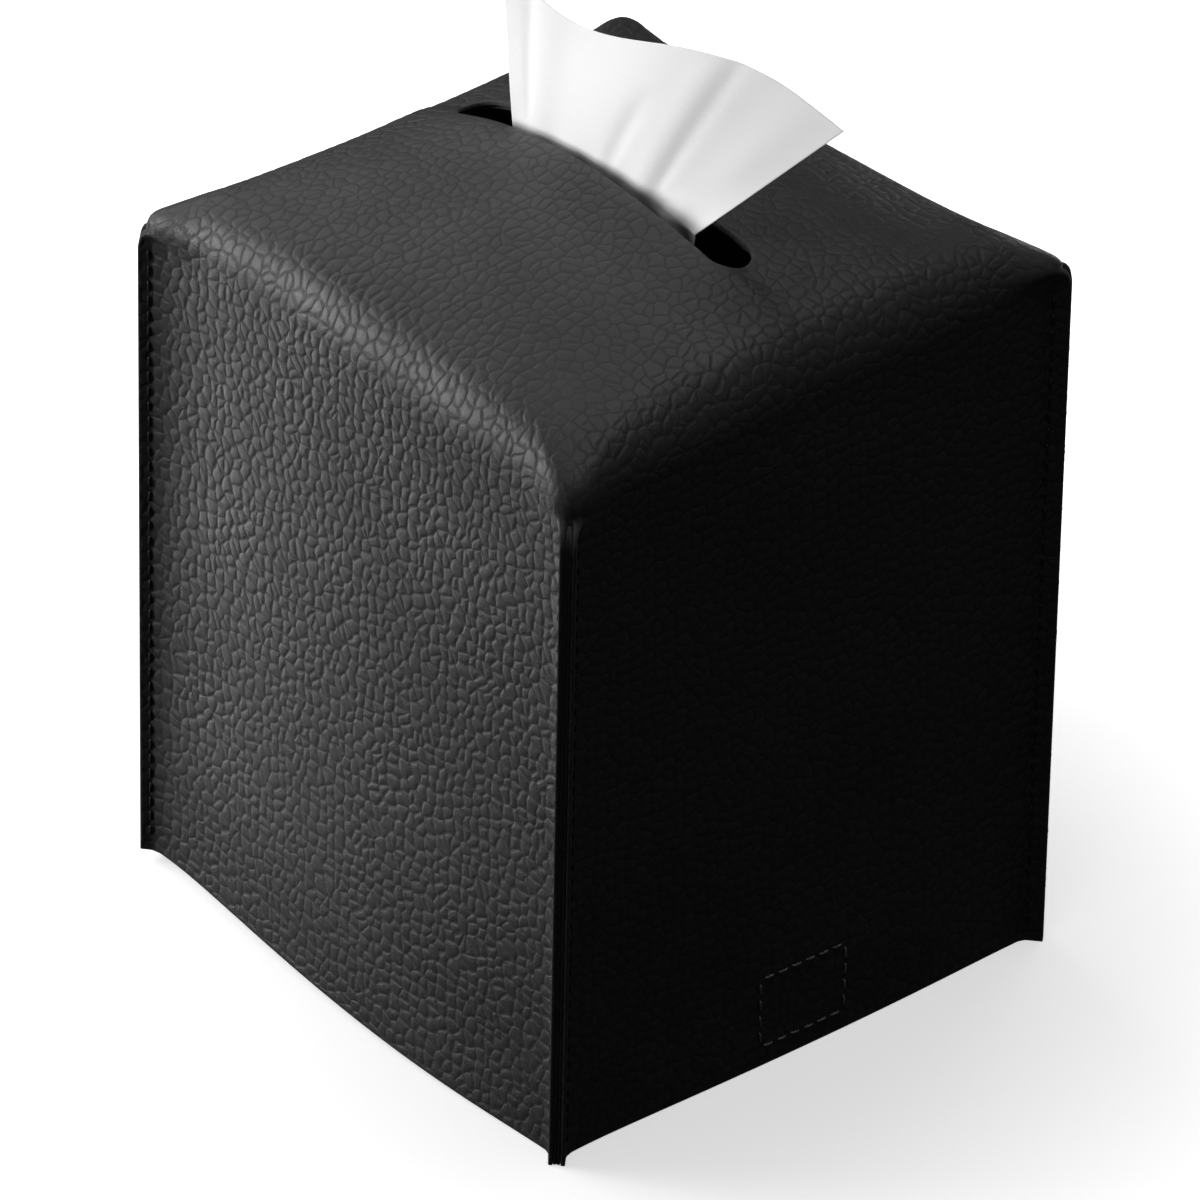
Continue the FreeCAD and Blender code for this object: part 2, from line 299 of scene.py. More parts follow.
class Wiring:
    """Adds nodes to one tree and links them."""

    def __init__(self, tree: bpy.types.NodeTree) -> None:
        """Take the tree that the nodes go into."""
        self.tree = tree

    def node(self, kind: str, inputs: Optional[dict] = None, **settings: Setting) -> bpy.types.Node:
        """Add a node.

        Args:
            kind: Type of the node.
            inputs: Values or sockets, by the name or number of the input.
            settings: Properties of the node.

        Returns:
            The node.
        """
        made = self.tree.nodes.new(kind)
        for name, value in settings.items():
            setattr(made, name, value)
        for key, value in (inputs or {}).items():
            self.feed(made.inputs[key], value)
        return made

    def feed(self, socket: Socket, value: Setting) -> None:
        """Link a socket to an input, or set the input's own value."""
        if isinstance(value, bpy.types.NodeSocket):
            self.tree.links.new(value, socket)
        else:
            socket.default_value = value

    def math(self, operation: str, first: Setting, second: Setting = 0.0) -> Socket:
        """Return the result of a sum."""
        return self.node("ShaderNodeMath", {0: first, 1: second}, operation=operation).outputs[0]

    def scaled(self, vector: Setting, factors: Sequence[float]) -> Socket:
        """Return a vector with each part multiplied."""
        return self.node("ShaderNodeVectorMath", {0: vector, 1: factors}, operation="MULTIPLY").outputs[0]

    def step(self, value: Setting, low: float, high: float, start: float = 0.0, end: float = 1.0) -> Socket:
        """Return an eased step of a value."""
        inputs = {0: value, 1: low, 2: high, 3: start, 4: end}
        return self.node("ShaderNodeMapRange", inputs, interpolation_type="SMOOTHSTEP").outputs[0]

    def noise(self, vector: Setting, scale: float, detail: float = 2.0) -> bpy.types.Node:
        """Return a noise node over a vector."""
        return self.node("ShaderNodeTexNoise", {"Vector": vector, "Scale": scale, "Detail": detail})

    def colour(self, share: Setting, first: Setting, second: Setting) -> Socket:
        """Return a mix of two colours."""
        inputs = {0: share, 6: first, 7: second}
        return self.node("ShaderNodeMix", inputs, data_type="RGBA").outputs[2]

    def place(self, name: str, group: bpy.types.NodeTree, inputs: dict) -> bpy.types.Node:
        """Place a node group with its values."""
        made = self.node("ShaderNodeGroup", node_tree=group, name=name)
        for key, value in inputs.items():
            self.feed(made.inputs[key], value)
        return made


def new_group(name: str, inputs: dict[str, tuple[str, Setting]], outputs: dict[str, str]) -> tuple:
    """Make an empty shader group with named sockets.

    Args:
        name: Name of the group.
        inputs: Kind and default value of each input, by name.
        outputs: Kind of each output, by name.

    Returns:
        The wiring of the group, its input node and its output node.
    """
    tree = bpy.data.node_groups.new(name, "ShaderNodeTree")
    for label, (kind, value) in inputs.items():
        socket = tree.interface.new_socket(name=label, in_out="INPUT", socket_type=f"NodeSocket{kind}")
        if value is not None:
            socket.default_value = value
    for label, kind in outputs.items():
        tree.interface.new_socket(name=label, in_out="OUTPUT", socket_type=f"NodeSocket{kind}")
    wiring = Wiring(tree)
    return wiring, wiring.node("NodeGroupInput"), wiring.node("NodeGroupOutput")


@dataclass(frozen=True)
class PebbleGrain:
    """Pebbles pressed into the coating: irregular cells with grooves between them, on flat-lay coordinates."""

    cell_width: float = 2.55
    cell_length: float = 2.75
    stray: float = 1.4
    curl: float = 0.45
    groove: float = 0.22
    # Width of the groove lines, which the leather darkens as painted shade.
    line: float = 0.06

    def wire(self, wiring: Wiring, lay: Socket) -> dict[str, Socket]:
        """Add the grain's nodes to a shader or geometry tree.

        Args:
            wiring: The tree to add to.
            lay: Flat-lay coordinates, in millimetres.

        Returns:
            Sockets of the height, of the groove lines that the leather darkens as painted shade, and of a tone for each
            pebble, each from 0 to 1.
        """
        moved = lay
        for scale, reach in ((0.15, self.stray), (0.7, self.curl)):
            drift = wiring.noise(lay, scale, 1.0).outputs["Color"]
            drift = wiring.node("ShaderNodeVectorMath", {0: drift, 1: (0.5,) * 3}, operation="SUBTRACT").outputs[0]
            inputs = {0: wiring.scaled(drift, (2 * reach,) * 3), 1: moved}
            moved = wiring.node("ShaderNodeVectorMath", inputs, operation="ADD").outputs[0]
        cells = wiring.scaled(moved, (1 / self.cell_width, 1 / self.cell_length, 0.0))
        fine = wiring.scaled(moved, (2.3 / self.cell_width, 2.0 / self.cell_length, 0.0))
        edge = self.voronoi(wiring, cells, "DISTANCE_TO_EDGE").outputs["Distance"]
        tone = self.voronoi(wiring, cells, "F1").outputs["Color"]
        crease = self.voronoi(wiring, fine, "DISTANCE_TO_EDGE").outputs["Distance"]
        pebble = wiring.step(edge, 0.0, self.groove)
        creased = wiring.step(crease, 0.0, 0.1, 0.92, 1.0)
        height = wiring.math("MULTIPLY", pebble, creased)
        # Groove lines at the cell edges: the mask of painted shade in the grooves.
        line = wiring.step(edge, 0.0, self.line, 1.0, 0.0)
        return {"Height": height, "Groove": line, "Tone": tone}

    @staticmethod
    def voronoi(wiring: Wiring, vector: Socket, feature: str) -> bpy.types.Node:
        """Add the cells at one scale."""
        inputs = {"Vector": vector, "Scale": 1.0, "Randomness": 0.8}
        return wiring.node("ShaderNodeTexVoronoi", inputs, voronoi_dimensions="2D", feature=feature)

    def shader_group(self) -> bpy.types.NodeTree:
        """Make the shader group of the grain."""
        outputs = {"Height": "Float", "Groove": "Float", "Tone": "Color"}
        wiring, enter, leave = new_group("pebble grain", {"Lay": ("Vector", None)}, outputs)
        for name, socket in self.wire(wiring, enter.outputs["Lay"]).items():
            wiring.feed(leave.inputs[name], socket)
        return wiring.tree

    def press(self, item: bpy.types.Object, depth: float) -> None:
        """Press the grain into a mesh along its normals.

        Args:
            item: A piece with flat-lay coordinates and relief shares.
            depth: Depth of the grooves, in millimetres.
        """
        tree = bpy.data.node_groups.new("pressed grain", "GeometryNodeTree")
        tree.interface.new_socket(name="Geometry", in_out="INPUT", socket_type="NodeSocketGeometry")
        tree.interface.new_socket(name="Geometry", in_out="OUTPUT", socket_type="NodeSocketGeometry")
        wiring = Wiring(tree)
        enter, leave = wiring.node("NodeGroupInput"), wiring.node("NodeGroupOutput")
        lay = wiring.node("GeometryNodeInputNamedAttribute", {"Name": LAY}, data_type="FLOAT_VECTOR")
        share = wiring.node("GeometryNodeInputNamedAttribute", {"Name": RELIEF}, data_type="FLOAT")
        height = self.wire(wiring, lay.outputs["Attribute"])["Height"]
        sunk = wiring.math("MULTIPLY", wiring.math("SUBTRACT", height, 1.0), depth * MM)
        sunk = wiring.math("MULTIPLY", sunk, share.outputs["Attribute"])
        normal = wiring.node("GeometryNodeInputNormal").outputs["Normal"]
        offset = wiring.node("ShaderNodeVectorMath", {0: normal, "Scale": sunk}, operation="SCALE").outputs[0]
        moved = wiring.node("GeometryNodeSetPosition", {"Geometry": enter.outputs[0], "Offset": offset})
        wiring.feed(leave.inputs[0], moved.outputs[0])
        item.modifiers.new("grain", "NODES").node_group = tree
        bpy.context.view_layer.update()
        solid = bpy.data.meshes.new_from_object(item.evaluated_get(bpy.context.evaluated_depsgraph_get()))
        item.modifiers.clear()
        plain, item.data = item.data, solid
        bpy.data.meshes.remove(plain)
        solid.name = item.name
        bpy.data.node_groups.remove(tree)


def fibre_group() -> bpy.types.NodeTree:
    """Make the shared group of matted fibres: felt, cut edges and pile."""
    inputs = {"Lay": ("Vector", None), "Scale": ("Float", 1.0)}
    outputs = {"Height": "Float", "Strand": "Float"}
    wiring, enter, leave = new_group("matted fibres", inputs, outputs)
    sockets = {0: enter.outputs["Lay"], "Scale": enter.outputs["Scale"]}
    lay = wiring.node("ShaderNodeVectorMath", sockets, operation="SCALE")
    turned = []
    for angle, stretch in ((0.4, 0.16), (1.9, 0.2), (2.8, 0.14)):
        spun = wiring.node("ShaderNodeVectorRotate", {"Vector": lay.outputs[0], "Angle": angle}, rotation_type="Z_AXIS")
        drawn = wiring.scaled(spun.outputs[0], (stretch, 1.0, 1.0))
        turned.append(wiring.noise(drawn, 3.0, 3.0).outputs["Fac"])
    strand = wiring.math("MAXIMUM", wiring.math("MAXIMUM", turned[0], turned[1]), turned[2])
    clump = wiring.noise(lay.outputs[0], 0.9, 3.0).outputs["Fac"]
    wiring.feed(leave.inputs["Strand"], wiring.step(strand, 0.45, 0.75))
    wiring.feed(leave.inputs["Height"], wiring.math("MULTIPLY", strand, wiring.step(clump, 0.2, 0.8, 0.6, 1.0)))
    return wiring.tree


def weave_group() -> bpy.types.NodeTree:
    """Make the shared group of woven yarns: straps and the ground of both tapes."""
    inputs = {"Lay": ("Vector", None), "Pitch": ("Float", 1.0)}
    outputs = {"Height": "Float", "Gap": "Float"}
    wiring, enter, leave = new_group("woven yarns", inputs, outputs)
    share = wiring.math("DIVIDE", math.pi, enter.outputs["Pitch"])
    lay = wiring.node("ShaderNodeVectorMath", {0: enter.outputs["Lay"], "Scale": share}, operation="SCALE")
    parts = wiring.node("ShaderNodeSeparateXYZ", {0: lay.outputs[0]})
    warp = wiring.math("ABSOLUTE", wiring.math("SINE", parts.outputs["X"]))
    weft = wiring.math("ABSOLUTE", wiring.math("SINE", parts.outputs["Y"]))
    twill = wiring.math("SINE", wiring.math("ADD", parts.outputs["X"], parts.outputs["Y"]))
    height = wiring.math("MULTIPLY", wiring.math("POWER", warp, 0.5), wiring.math("POWER", weft, 0.5))
    height = wiring.math("MULTIPLY", height, wiring.step(twill, -1.0, 1.0, 0.6, 1.0))
    wiring.feed(leave.inputs["Height"], height)
    # Low places between the yarns, which the tape darkens as painted shade.
    wiring.feed(leave.inputs["Gap"], wiring.step(height, 0.1, 0.5, 1.0, 0.0))
    return wiring.tree


def wear_group() -> bpy.types.NodeTree:
    """Make the shared group of uneven tone and settled dust."""
    inputs = {"Lay": ("Vector", None), "Reach": ("Float", 30.0)}
    outputs = {"Drift": "Float", "Dust": "Float"}
    wiring, enter, leave = new_group("tone and dust", inputs, outputs)
    share = wiring.math("DIVIDE", 1.0, enter.outputs["Reach"])
    lay = wiring.node("ShaderNodeVectorMath", {0: enter.outputs["Lay"], "Scale": share}, operation="SCALE").outputs[0]
    wiring.feed(leave.inputs["Drift"], wiring.noise(lay, 1.0, 3.0).outputs["Fac"])
    specks = wiring.noise(enter.outputs["Lay"], 3.1, 2.0).outputs["Fac"]
    wiring.feed(leave.inputs["Dust"], wiring.step(specks, 0.66, 0.8))
    return wiring.tree


# Finishes


@dataclass(frozen=True)
class Palette:
    """Node groups that several finishes share."""

    grain: bpy.types.NodeTree
    fibres: bpy.types.NodeTree
    weave: bpy.types.NodeTree
    wear: bpy.types.NodeTree


def grey(value: float, warm: float = 0.0) -> tuple[float, float, float, float]:
    """Return a grey, a little warmer or cooler."""
    return (value * (1 + warm), value, value * (1 - warm), 1.0)


class Finish:
    """A material under construction: its shader, its wiring and its flat-lay coordinates."""

    def __init__(self, name: str) -> None:
        """Make the material with a plain shader."""
        self.material = bpy.data.materials.new(name)
        self.material.use_nodes = True
        self.wiring = Wiring(self.material.node_tree)
        self.shader = self.material.node_tree.nodes["Principled BSDF"]
        self.lay = self.wiring.node("ShaderNodeAttribute", attribute_name=LAY).outputs["Vector"]

    def set(self, **values: Setting) -> None:
        """Set or link inputs of the shader, with underscores for spaces."""
        for name, value in values.items():
            self.wiring.feed(self.shader.inputs[name.replace("_", " ")], value)

    def bump(self, height: Setting, depth: float, strength: float = 1.0, under: Optional[Socket] = None) -> Socket:
        """Return a normal bent by a height.

        Args:
            height: Heights from 0 to 1.
            depth: Their depth, in millimetres.
            strength: Share of the effect.
            under: A normal that is bent already.

        Returns:
            The normal's socket.
        """
        inputs = {"Height": height, "Distance": depth * MM, "Strength": strength}
        if under is not None:
            inputs["Normal"] = under
        return self.wiring.node("ShaderNodeBump", inputs).outputs["Normal"]


@dataclass(frozen=True)
class PebbledLeather:
    """Black coated leather: pebbles with a soft shine on their tops and dull grooves, darkened as painted shade."""

    top: float = 0.034
    # Colour of the grooves: painted shade, darker than the pebble tops.
    groove: float = 0.018
    top_roughness: float = 0.42
    groove_roughness: float = 0.58

    def material(self, palette: Palette) -> bpy.types.Material:
        """Build the finish."""
        finish = Finish("pebbled_leather")
        wiring = finish.wiring
        grain = wiring.place("grain", palette.grain, {"Lay": finish.lay})
        wear = wiring.place("wear", palette.wear, {"Lay": finish.lay, "Reach": 28.0})
        relief = wiring.node("ShaderNodeAttribute", attribute_name=RELIEF).outputs["Fac"]
        # Groove lines scaled by relief, where the colour is darkened as painted shade.
        groove = wiring.math("MULTIPLY", grain.outputs["Groove"], relief)
        tone = wiring.node("ShaderNodeSeparateColor", {0: grain.outputs["Tone"]}).outputs[0]
        body = wiring.colour(tone, grey(self.top * 0.86), grey(self.top * 1.1))
        body = wiring.colour(wiring.step(wear.outputs["Drift"], 0.35, 0.7, 0.0, 0.3), body, grey(self.top * 0.7))
        # Mix in the painted shade of the grooves.
        body = wiring.colour(groove, body, grey(self.groove))
        rough = wiring.step(grain.outputs["Height"], 0.1, 0.9, self.groove_roughness, self.top_roughness)
        rough = wiring.math("ADD", rough, wiring.step(wear.outputs["Drift"], 0.3, 0.7, -0.04, 0.06))
        pores = wiring.noise(finish.lay, 3.2, 4.0).outputs["Fac"]
        skin = finish.bump(pores, 0.09)
        height = wiring.math("MULTIPLY", grain.outputs["Height"], relief)
        finish.set(
            Base_Color=body, Roughness=rough, Normal=finish.bump(height, 0.075, 1.0, skin), Specular_IOR_Level=0.5
        )
        return finish.material


@dataclass(frozen=True)
class FibrousFelt:
    """Black felt of the lining and of every raw edge."""

    name: str
    tone: float = 0.012
    strand: float = 0.05
    scale: float = 1.6
    depth: float = 0.14

    def material(self, palette: Palette) -> bpy.types.Material:
        """Build the finish."""
        finish = Finish(self.name)
        wiring = finish.wiring
        fibres = wiring.place("fibres", palette.fibres, {"Lay": finish.lay, "Scale": self.scale})
        wear = wiring.place("wear", palette.wear, {"Lay": finish.lay, "Reach": 14.0})
        body = wiring.colour(fibres.outputs["Strand"], grey(self.tone), grey(self.strand))
        body = wiring.colour(wear.outputs["Dust"], body, grey(self.strand * 1.6))
        rough = wiring.step(wear.outputs["Drift"], 0.3, 0.7, 0.86, 0.96)
        finish.set(
            Base_Color=body,
            Roughness=rough,
            Normal=finish.bump(fibres.outputs["Height"], self.depth),
            Specular_IOR_Level=0.25,
            Sheen_Weight=0.12,
            Sheen_Roughness=0.5,
        )
        return finish.material


@dataclass(frozen=True)
class SewingThread:
    """Twisted polyester thread, with the lie of its plies as stripes, darker between the plies as painted shade."""

    name: str
    tone: float
    # Colour of the stripes between the plies, a painted shade; it is also the dark end of the thread's random tone.
    groove: float
    roughness: float = 0.5

    def material(self, palette: Palette) -> bpy.types.Material:
        """Build the finish."""
        finish = Finish(self.name)
        wiring = finish.wiring
        fibres = wiring.place("fibres", palette.fibres, {"Lay": finish.lay, "Scale": 5.0})
        wear = wiring.place("wear", palette.wear, {"Lay": finish.lay, "Reach": 9.0})
        parts = wiring.node("ShaderNodeSeparateXYZ", {0: finish.lay})
        ply = wiring.math("SINE", wiring.math("MULTIPLY", parts.outputs["Y"], 6.0))
        # Darker stripes between the plies: painted shade.
        body = wiring.colour(wiring.step(ply, -0.9, 0.2), grey(self.groove), grey(self.tone))
        body = wiring.colour(wiring.step(wear.outputs["Drift"], 0.3, 0.75, 0.0, 0.5), body, grey(self.groove))
        rough = wiring.step(fibres.outputs["Strand"], 0.0, 1.0, self.roughness, self.roughness + 0.2)
        finish.set(Base_Color=body, Roughness=rough, Normal=finish.bump(fibres.outputs["Height"], 0.05))
        return finish.material


@dataclass(frozen=True)
class WovenTape:
    """Black woven nylon: the straps and the ground of the touch fastener."""

    name: str
    tone: float = 0.020
    # Colour between the yarns, a painted shade.
    gap: float = 0.004
    pitch: float = 1.1
    roughness: float = 0.48

    def material(self, palette: Palette) -> bpy.types.Material:
        """Build the finish."""
        finish = Finish(self.name)
        wiring = finish.wiring
        weave = wiring.place("weave", palette.weave, {"Lay": finish.lay, "Pitch": self.pitch})
        fibres = wiring.place("fibres", palette.fibres, {"Lay": finish.lay, "Scale": 4.0})
        wear = wiring.place("wear", palette.wear, {"Lay": finish.lay, "Reach": 16.0})
        body = wiring.colour(wiring.step(wear.outputs["Drift"], 0.3, 0.7), grey(self.tone), grey(self.tone * 1.5))
        # Painted shade between the yarns.
        body = wiring.colour(weave.outputs["Gap"], body, grey(self.gap))
        body = wiring.colour(wear.outputs["Dust"], body, grey(self.tone * 3.0))
        rough = wiring.step(weave.outputs["Height"], 0.0, 1.0, self.roughness + 0.25, self.roughness)
        yarn = finish.bump(fibres.outputs["Height"], 0.05)
        finish.set(
            Base_Color=body,
            Roughness=rough,
            Normal=finish.bump(weave.outputs["Height"], 0.12, 0.7, yarn),
            Sheen_Weight=0.05,
        )
        return finish.material


@dataclass(frozen=True)
class HookPlastic:
    """Stiff black nylon of the moulded hooks."""

    tone: float = 0.015
    roughness: float = 0.35

    def material(self, palette: Palette) -> bpy.types.Material:
        """Build the finish."""
        finish = Finish("hook_nylon")
        wiring = finish.wiring
        wear = wiring.place("wear", palette.wear, {"Lay": finish.lay, "Reach": 3.0})
        body = wiring.colour(wear.outputs["Drift"], grey(self.tone * 0.6), grey(self.tone * 1.6))
        rough = wiring.step(wear.outputs["Drift"], 0.3, 0.7, self.roughness, self.roughness + 0.2)
        finish.set(Base_Color=body, Roughness=rough)
        return finish.material


@dataclass(frozen=True)
class TissuePaper:
    """Soft white creped tissue of two plies."""

    tone: float = 0.9
    # Grey of soft patches: painted fold shade, placed in random patches by noise rather than at the folds.
    fold: float = 0.84

    def material(self, palette: Palette) -> bpy.types.Material:
        """Build the finish."""
        finish = Finish("tissue_paper")
        wiring = finish.wiring
        fibres = wiring.place("fibres", palette.fibres, {"Lay": finish.lay, "Scale": 2.2})
        wear = wiring.place("wear", palette.wear, {"Lay": finish.lay, "Reach": 20.0})
        crepe = wiring.noise(wiring.scaled(finish.lay, (0.35, 3.2, 1.0)), 1.0, 3.0).outputs["Fac"]
        body = wiring.colour(fibres.outputs["Strand"], grey(self.tone * 0.97), grey(self.tone))
        # Greyer patches where the noise is high: painted fold shade.
        body = wiring.colour(wiring.step(wear.outputs["Drift"], 0.4, 0.7, 0.0, 0.35), body, grey(self.fold))
        rough = wiring.step(crepe, 0.2, 0.8, 0.85, 1.0)
        soft = finish.bump(fibres.outputs["Height"], 0.05, 0.6)
        finish.set(
            Base_Color=body,
            Roughness=rough,
            Normal=finish.bump(crepe, 0.06, 0.5, soft),
            Specular_IOR_Level=0.15,
            Sheen_Weight=0.1,
        )
        return finish.material


@dataclass(frozen=True)
class StudioPaper:
    """Pale paper of the floor, which glows a little, less near the cover as a painted shadow round its foot, and is
    clear from below.
    """

    tone: float = 0.93
    # Glow next to the cover, weaker than elsewhere: a painted shadow.
    painted_shadow_glow: float = 0.55

    def material(self, palette: Palette) -> bpy.types.Material:
        """Build the finish."""
        finish = Finish("studio_floor")
        wiring = finish.wiring
        place = wiring.node("ShaderNodeTexCoord").outputs["Object"]
        wear = wiring.place("wear", palette.wear, {"Lay": place, "Reach": 0.6})
        body = wiring.colour(wear.outputs["Drift"], grey(self.tone), grey(self.tone * 0.985))
        away = wiring.node("ShaderNodeVectorMath", {0: place}, operation="LENGTH").outputs["Value"]
        finish.set(Base_Color=body, Roughness=0.9, Specular_IOR_Level=0.1, Emission_Color=grey(1.0))
        # The weaker glow near the cover paints a soft shadow round its foot.
        finish.set(Emission_Strength=wiring.step(away, 0.07, 0.2, self.painted_shadow_glow, 1.0))
        under = wiring.node("ShaderNodeNewGeometry").outputs["Backfacing"]
        clear = wiring.node("ShaderNodeBsdfTransparent").outputs[0]
        mixed = wiring.node("ShaderNodeMixShader", {0: under, 1: finish.shader.outputs[0], 2: clear})
        wiring.feed(finish.material.node_tree.nodes["Material Output"].inputs["Surface"], mixed.outputs[0])
        return finish.material


# Cover


@dataclass(frozen=True)
class Layer:
    """How finely one surface of the cover is divided, and what it has."""

    depth: float
    wall_rings: int
    bend_rings: int
    top_rings: int
    wall_stations: int
    corner_stations: int = 8
    fins: bool = False


@dataclass
class CoverForm:
    """Soft outside form of the cover, as a stack of rings from the bottom edge to the lip of the slot."""

    half: float = 60.0
    crest: float = 159.0
    eaves: float = 149.0
    dome_powers: tuple[float, float] = (2.5, 2.2)
    top_wave: float = 0.3
    sags: tuple[float, ...] = (0.0, 0.0, 4.2, 3.4)
    sag_start: float = 0.4
    tucks: tuple[float, ...] = (0.0, 0.0, 2.2, 3.8)
    tuck_levels: tuple[float, float] = (50.0, 142.0)
    ears: tuple[float, ...] = (0.5, 0.8, 0.5, 1.3)
    ear_power: int = 5
    puckers: tuple[float, ...] = (0.5, 2.6, 1.2, 2.5)
    pucker_start: float = 0.74
    pucker_drop: float = 8.0
    pucker_fade: tuple[float, float] = (-148.5, -142.5)
    lip_arch: float = 1.9
    lip_middle: tuple[float, float] = (-2.0, -3.0)
    lip_spread: tuple[float, float] = (40.0, 9.0)
    lip_fade: tuple[float, float] = (-2.5, 2.0)
    bend: float = 9.0
    corner_radius: float = 5.0
    least_radius: float = 0.8
    corner_ease: tuple[float, ...] = (2.2, 0.5, 0.7, 0.4)
    slot_straight: float = 34.5
    slot_radius: float = 4.5
    slot_shift: tuple[float, float] = (-2.1, 2.0)
    lip_profile: tuple = ((0.3, 0.3), (0.0, 1.0), (0.0, 2.2), (0.0, 3.4))
    edge_round: float = 0.25
    fin_tip: float = 87.65
    fin_half: float = 1.6
    felt_half: float = 0.75
    fin_depth: float = 3.5
    fin_curl: float = 0.8
    fin_flare: int = 8
    fin_tops: tuple[float, ...] = (138.6, 142.0, 141.5, 140.4)
    shoulder: float = 4.0
    leaf: tuple[float, ...] = (3.2, 3.7, 3.2, 2.5)
    bows: tuple[float, ...] = (3.8, 1.3, 0.8, 0.8)
    bow_skew: tuple[float, ...] = (0.35, 0.2, 0.0, 0.0)
    bow_reach: float = 57.0
    belly_top: float = 132.0
    belly_power: float = 1.15
    wave: float = 0.35
    wave_top: float = 139.0
    wave_fade: float = 20.0
    settle_span: float = 124.0
    drift_low: tuple = ((1.4, 0.4, 0.0), (2.6, -4.4, 0.0), (0.0, 0.0, 0.0), (-0.3, 1.9, 2.6))
    drift_high: tuple = ((0.8, -0.2, -0.8), (-3.5, -0.6, 2.0), (-2.7, -4.0, 0.5), (0.6, 0.6, 0.0))
    fin_calm: float = 0.72
    calm_span: tuple[float, float] = (0.78, 0.93)
    calm_drop: float = 9.0
    bend_calm: tuple[float, ...] = (0.3, 0.14, 0.3, 0.3)
    top_grain: float = 0.52
    lip_grain: float = 0.35
    lip_span: tuple[float, float] = (0.4, 3.5)
    far_calm: float = 0.6
    far_span: tuple[float, float] = (36.0, 50.0)

    def crown(self, x: Array, y: Array) -> Array:
        """Return the height of the domed top above the resting plane.

        Args:
            x: Places along X.
            y: Places along Y.

        Returns:
            Heights, before the cover settles.
        """
        across, deep = np.clip(x / self.half, -1, 1), np.clip(y / self.half, -1, 1)
        wide, long = self.dome_powers
        dome = (self.crest - self.eaves) * (1 - np.abs(across) ** wide) * (1 - np.abs(deep) ** long)
        height = self.eaves + dome
        for side, sag in zip(Side, self.sags):
            along = across * side.along[0] + deep * side.along[1]
            out = across * side.out[0] + deep * side.out[1]
            height = height - sag * (1 - along**2) * smooth(out, self.sag_start, 1.0)
        ear = 0.0
        for corner, rise in zip(Corner, self.ears):
            way = np.sign(corner.out)
            ear = ear + rise * ((1 + way[0] * across) * (1 + way[1] * deep) / 4) ** self.ear_power
        aside, ahead = ((v - m) / s for v, m, s in zip((x, y), self.lip_middle, self.lip_spread))
        lip = self.lip_arch * np.exp(-(aside**2) - ahead**2) * smooth(-y, *self.lip_fade)
        return height + ear + lip + self.top_wave * ripple(x, y, pitch=46.0, seed=3)

    def fin_share(self, level: Array, corner: int) -> Array:
        """Return how far a fin stands out at a level, from 1 below its top to 0 above it."""
        up = np.clip((level - self.fin_tops[corner] + self.shoulder) / self.shoulder, 0, 1)
        return np.sqrt(1 - up**2)

    @staticmethod
    def diagonal(out: float, across: float) -> tuple[float, float]:
        """Return a place on a corner's diagonal as a place along the wall and out of it."""
        return (out - across) / math.sqrt(2), (out + across) / math.sqrt(2)

    def fin_path(self, corner: int) -> tuple[Array, Array]:
        """Return the path of the leather round one leaf of a fin.

        Args:
            corner: Number of the corner.

        Returns:
            Points along the wall and out of it, and which of the spans after them are raw edge.
        """
        tip, half, felt = self.fin_tip, self.fin_half, self.felt_half
        root = tip - self.leaf[corner]
        curl, small, turn = self.fin_curl, self.edge_round, self.diagonal
        knee = np.array(turn(root, half))
        start = knee - np.array((curl, curl * 0.12))
        end = np.array(turn(root + curl, half))
        shares = np.array([0.0, 0.3, 0.65])[:, None]
        bent = (1 - shares) ** 2 * start + 2 * shares * (1 - shares) * knee + shares**2 * end
        leaf = [turn(u, half) for u in np.linspace(root + curl, tip - small, 5)]
        rim = [turn(tip - 0.3 * small, half - 0.3 * small), turn(tip, half - small), turn(tip, felt + 0.12)]
        back = [turn(tip - 0.12, felt), turn(tip - 1.7, felt), turn(tip - self.fin_depth + 0.3, felt)]
        foot = [turn(tip - self.fin_depth, felt - 0.3), turn(tip - self.fin_depth, 0.0)]
        points = np.array([*bent, *leaf, *rim, *back, *foot])
        raw = np.zeros(len(points), bool)
        raw[len(bent) + len(leaf) - 1:] = True
        return points, raw

    def slot(self, side: Side, share: Array, grow: float) -> tuple[Array, Array]:
        """Return points of the slot's outline for one half of a wall.

        Args:
            side: The wall that the points belong to.
            share: Share of the way from the wall's middle to its corner.
            grow: Distance outside the slot's edge.

        Returns:
            Places along the wall and out of it.
        """
        radius = self.slot_radius + grow
        if side in (Side.RIGHT, Side.LEFT):
            angle = share * QUARTER_TURN / 2
            return radius * np.sin(angle), self.slot_straight + radius * np.cos(angle)
        run = share * (self.slot_straight + radius * QUARTER_TURN / 2)
        angle = np.clip(run - self.slot_straight, 0, None) / radius
        return np.minimum(run, self.slot_straight) + radius * np.sin(angle), radius * np.cos(angle)

    def place_slot(self, plan: Array) -> Array:
        """Return points of the slot's outline moved to where the slot lies."""
        return plan + np.array(self.slot_shift)

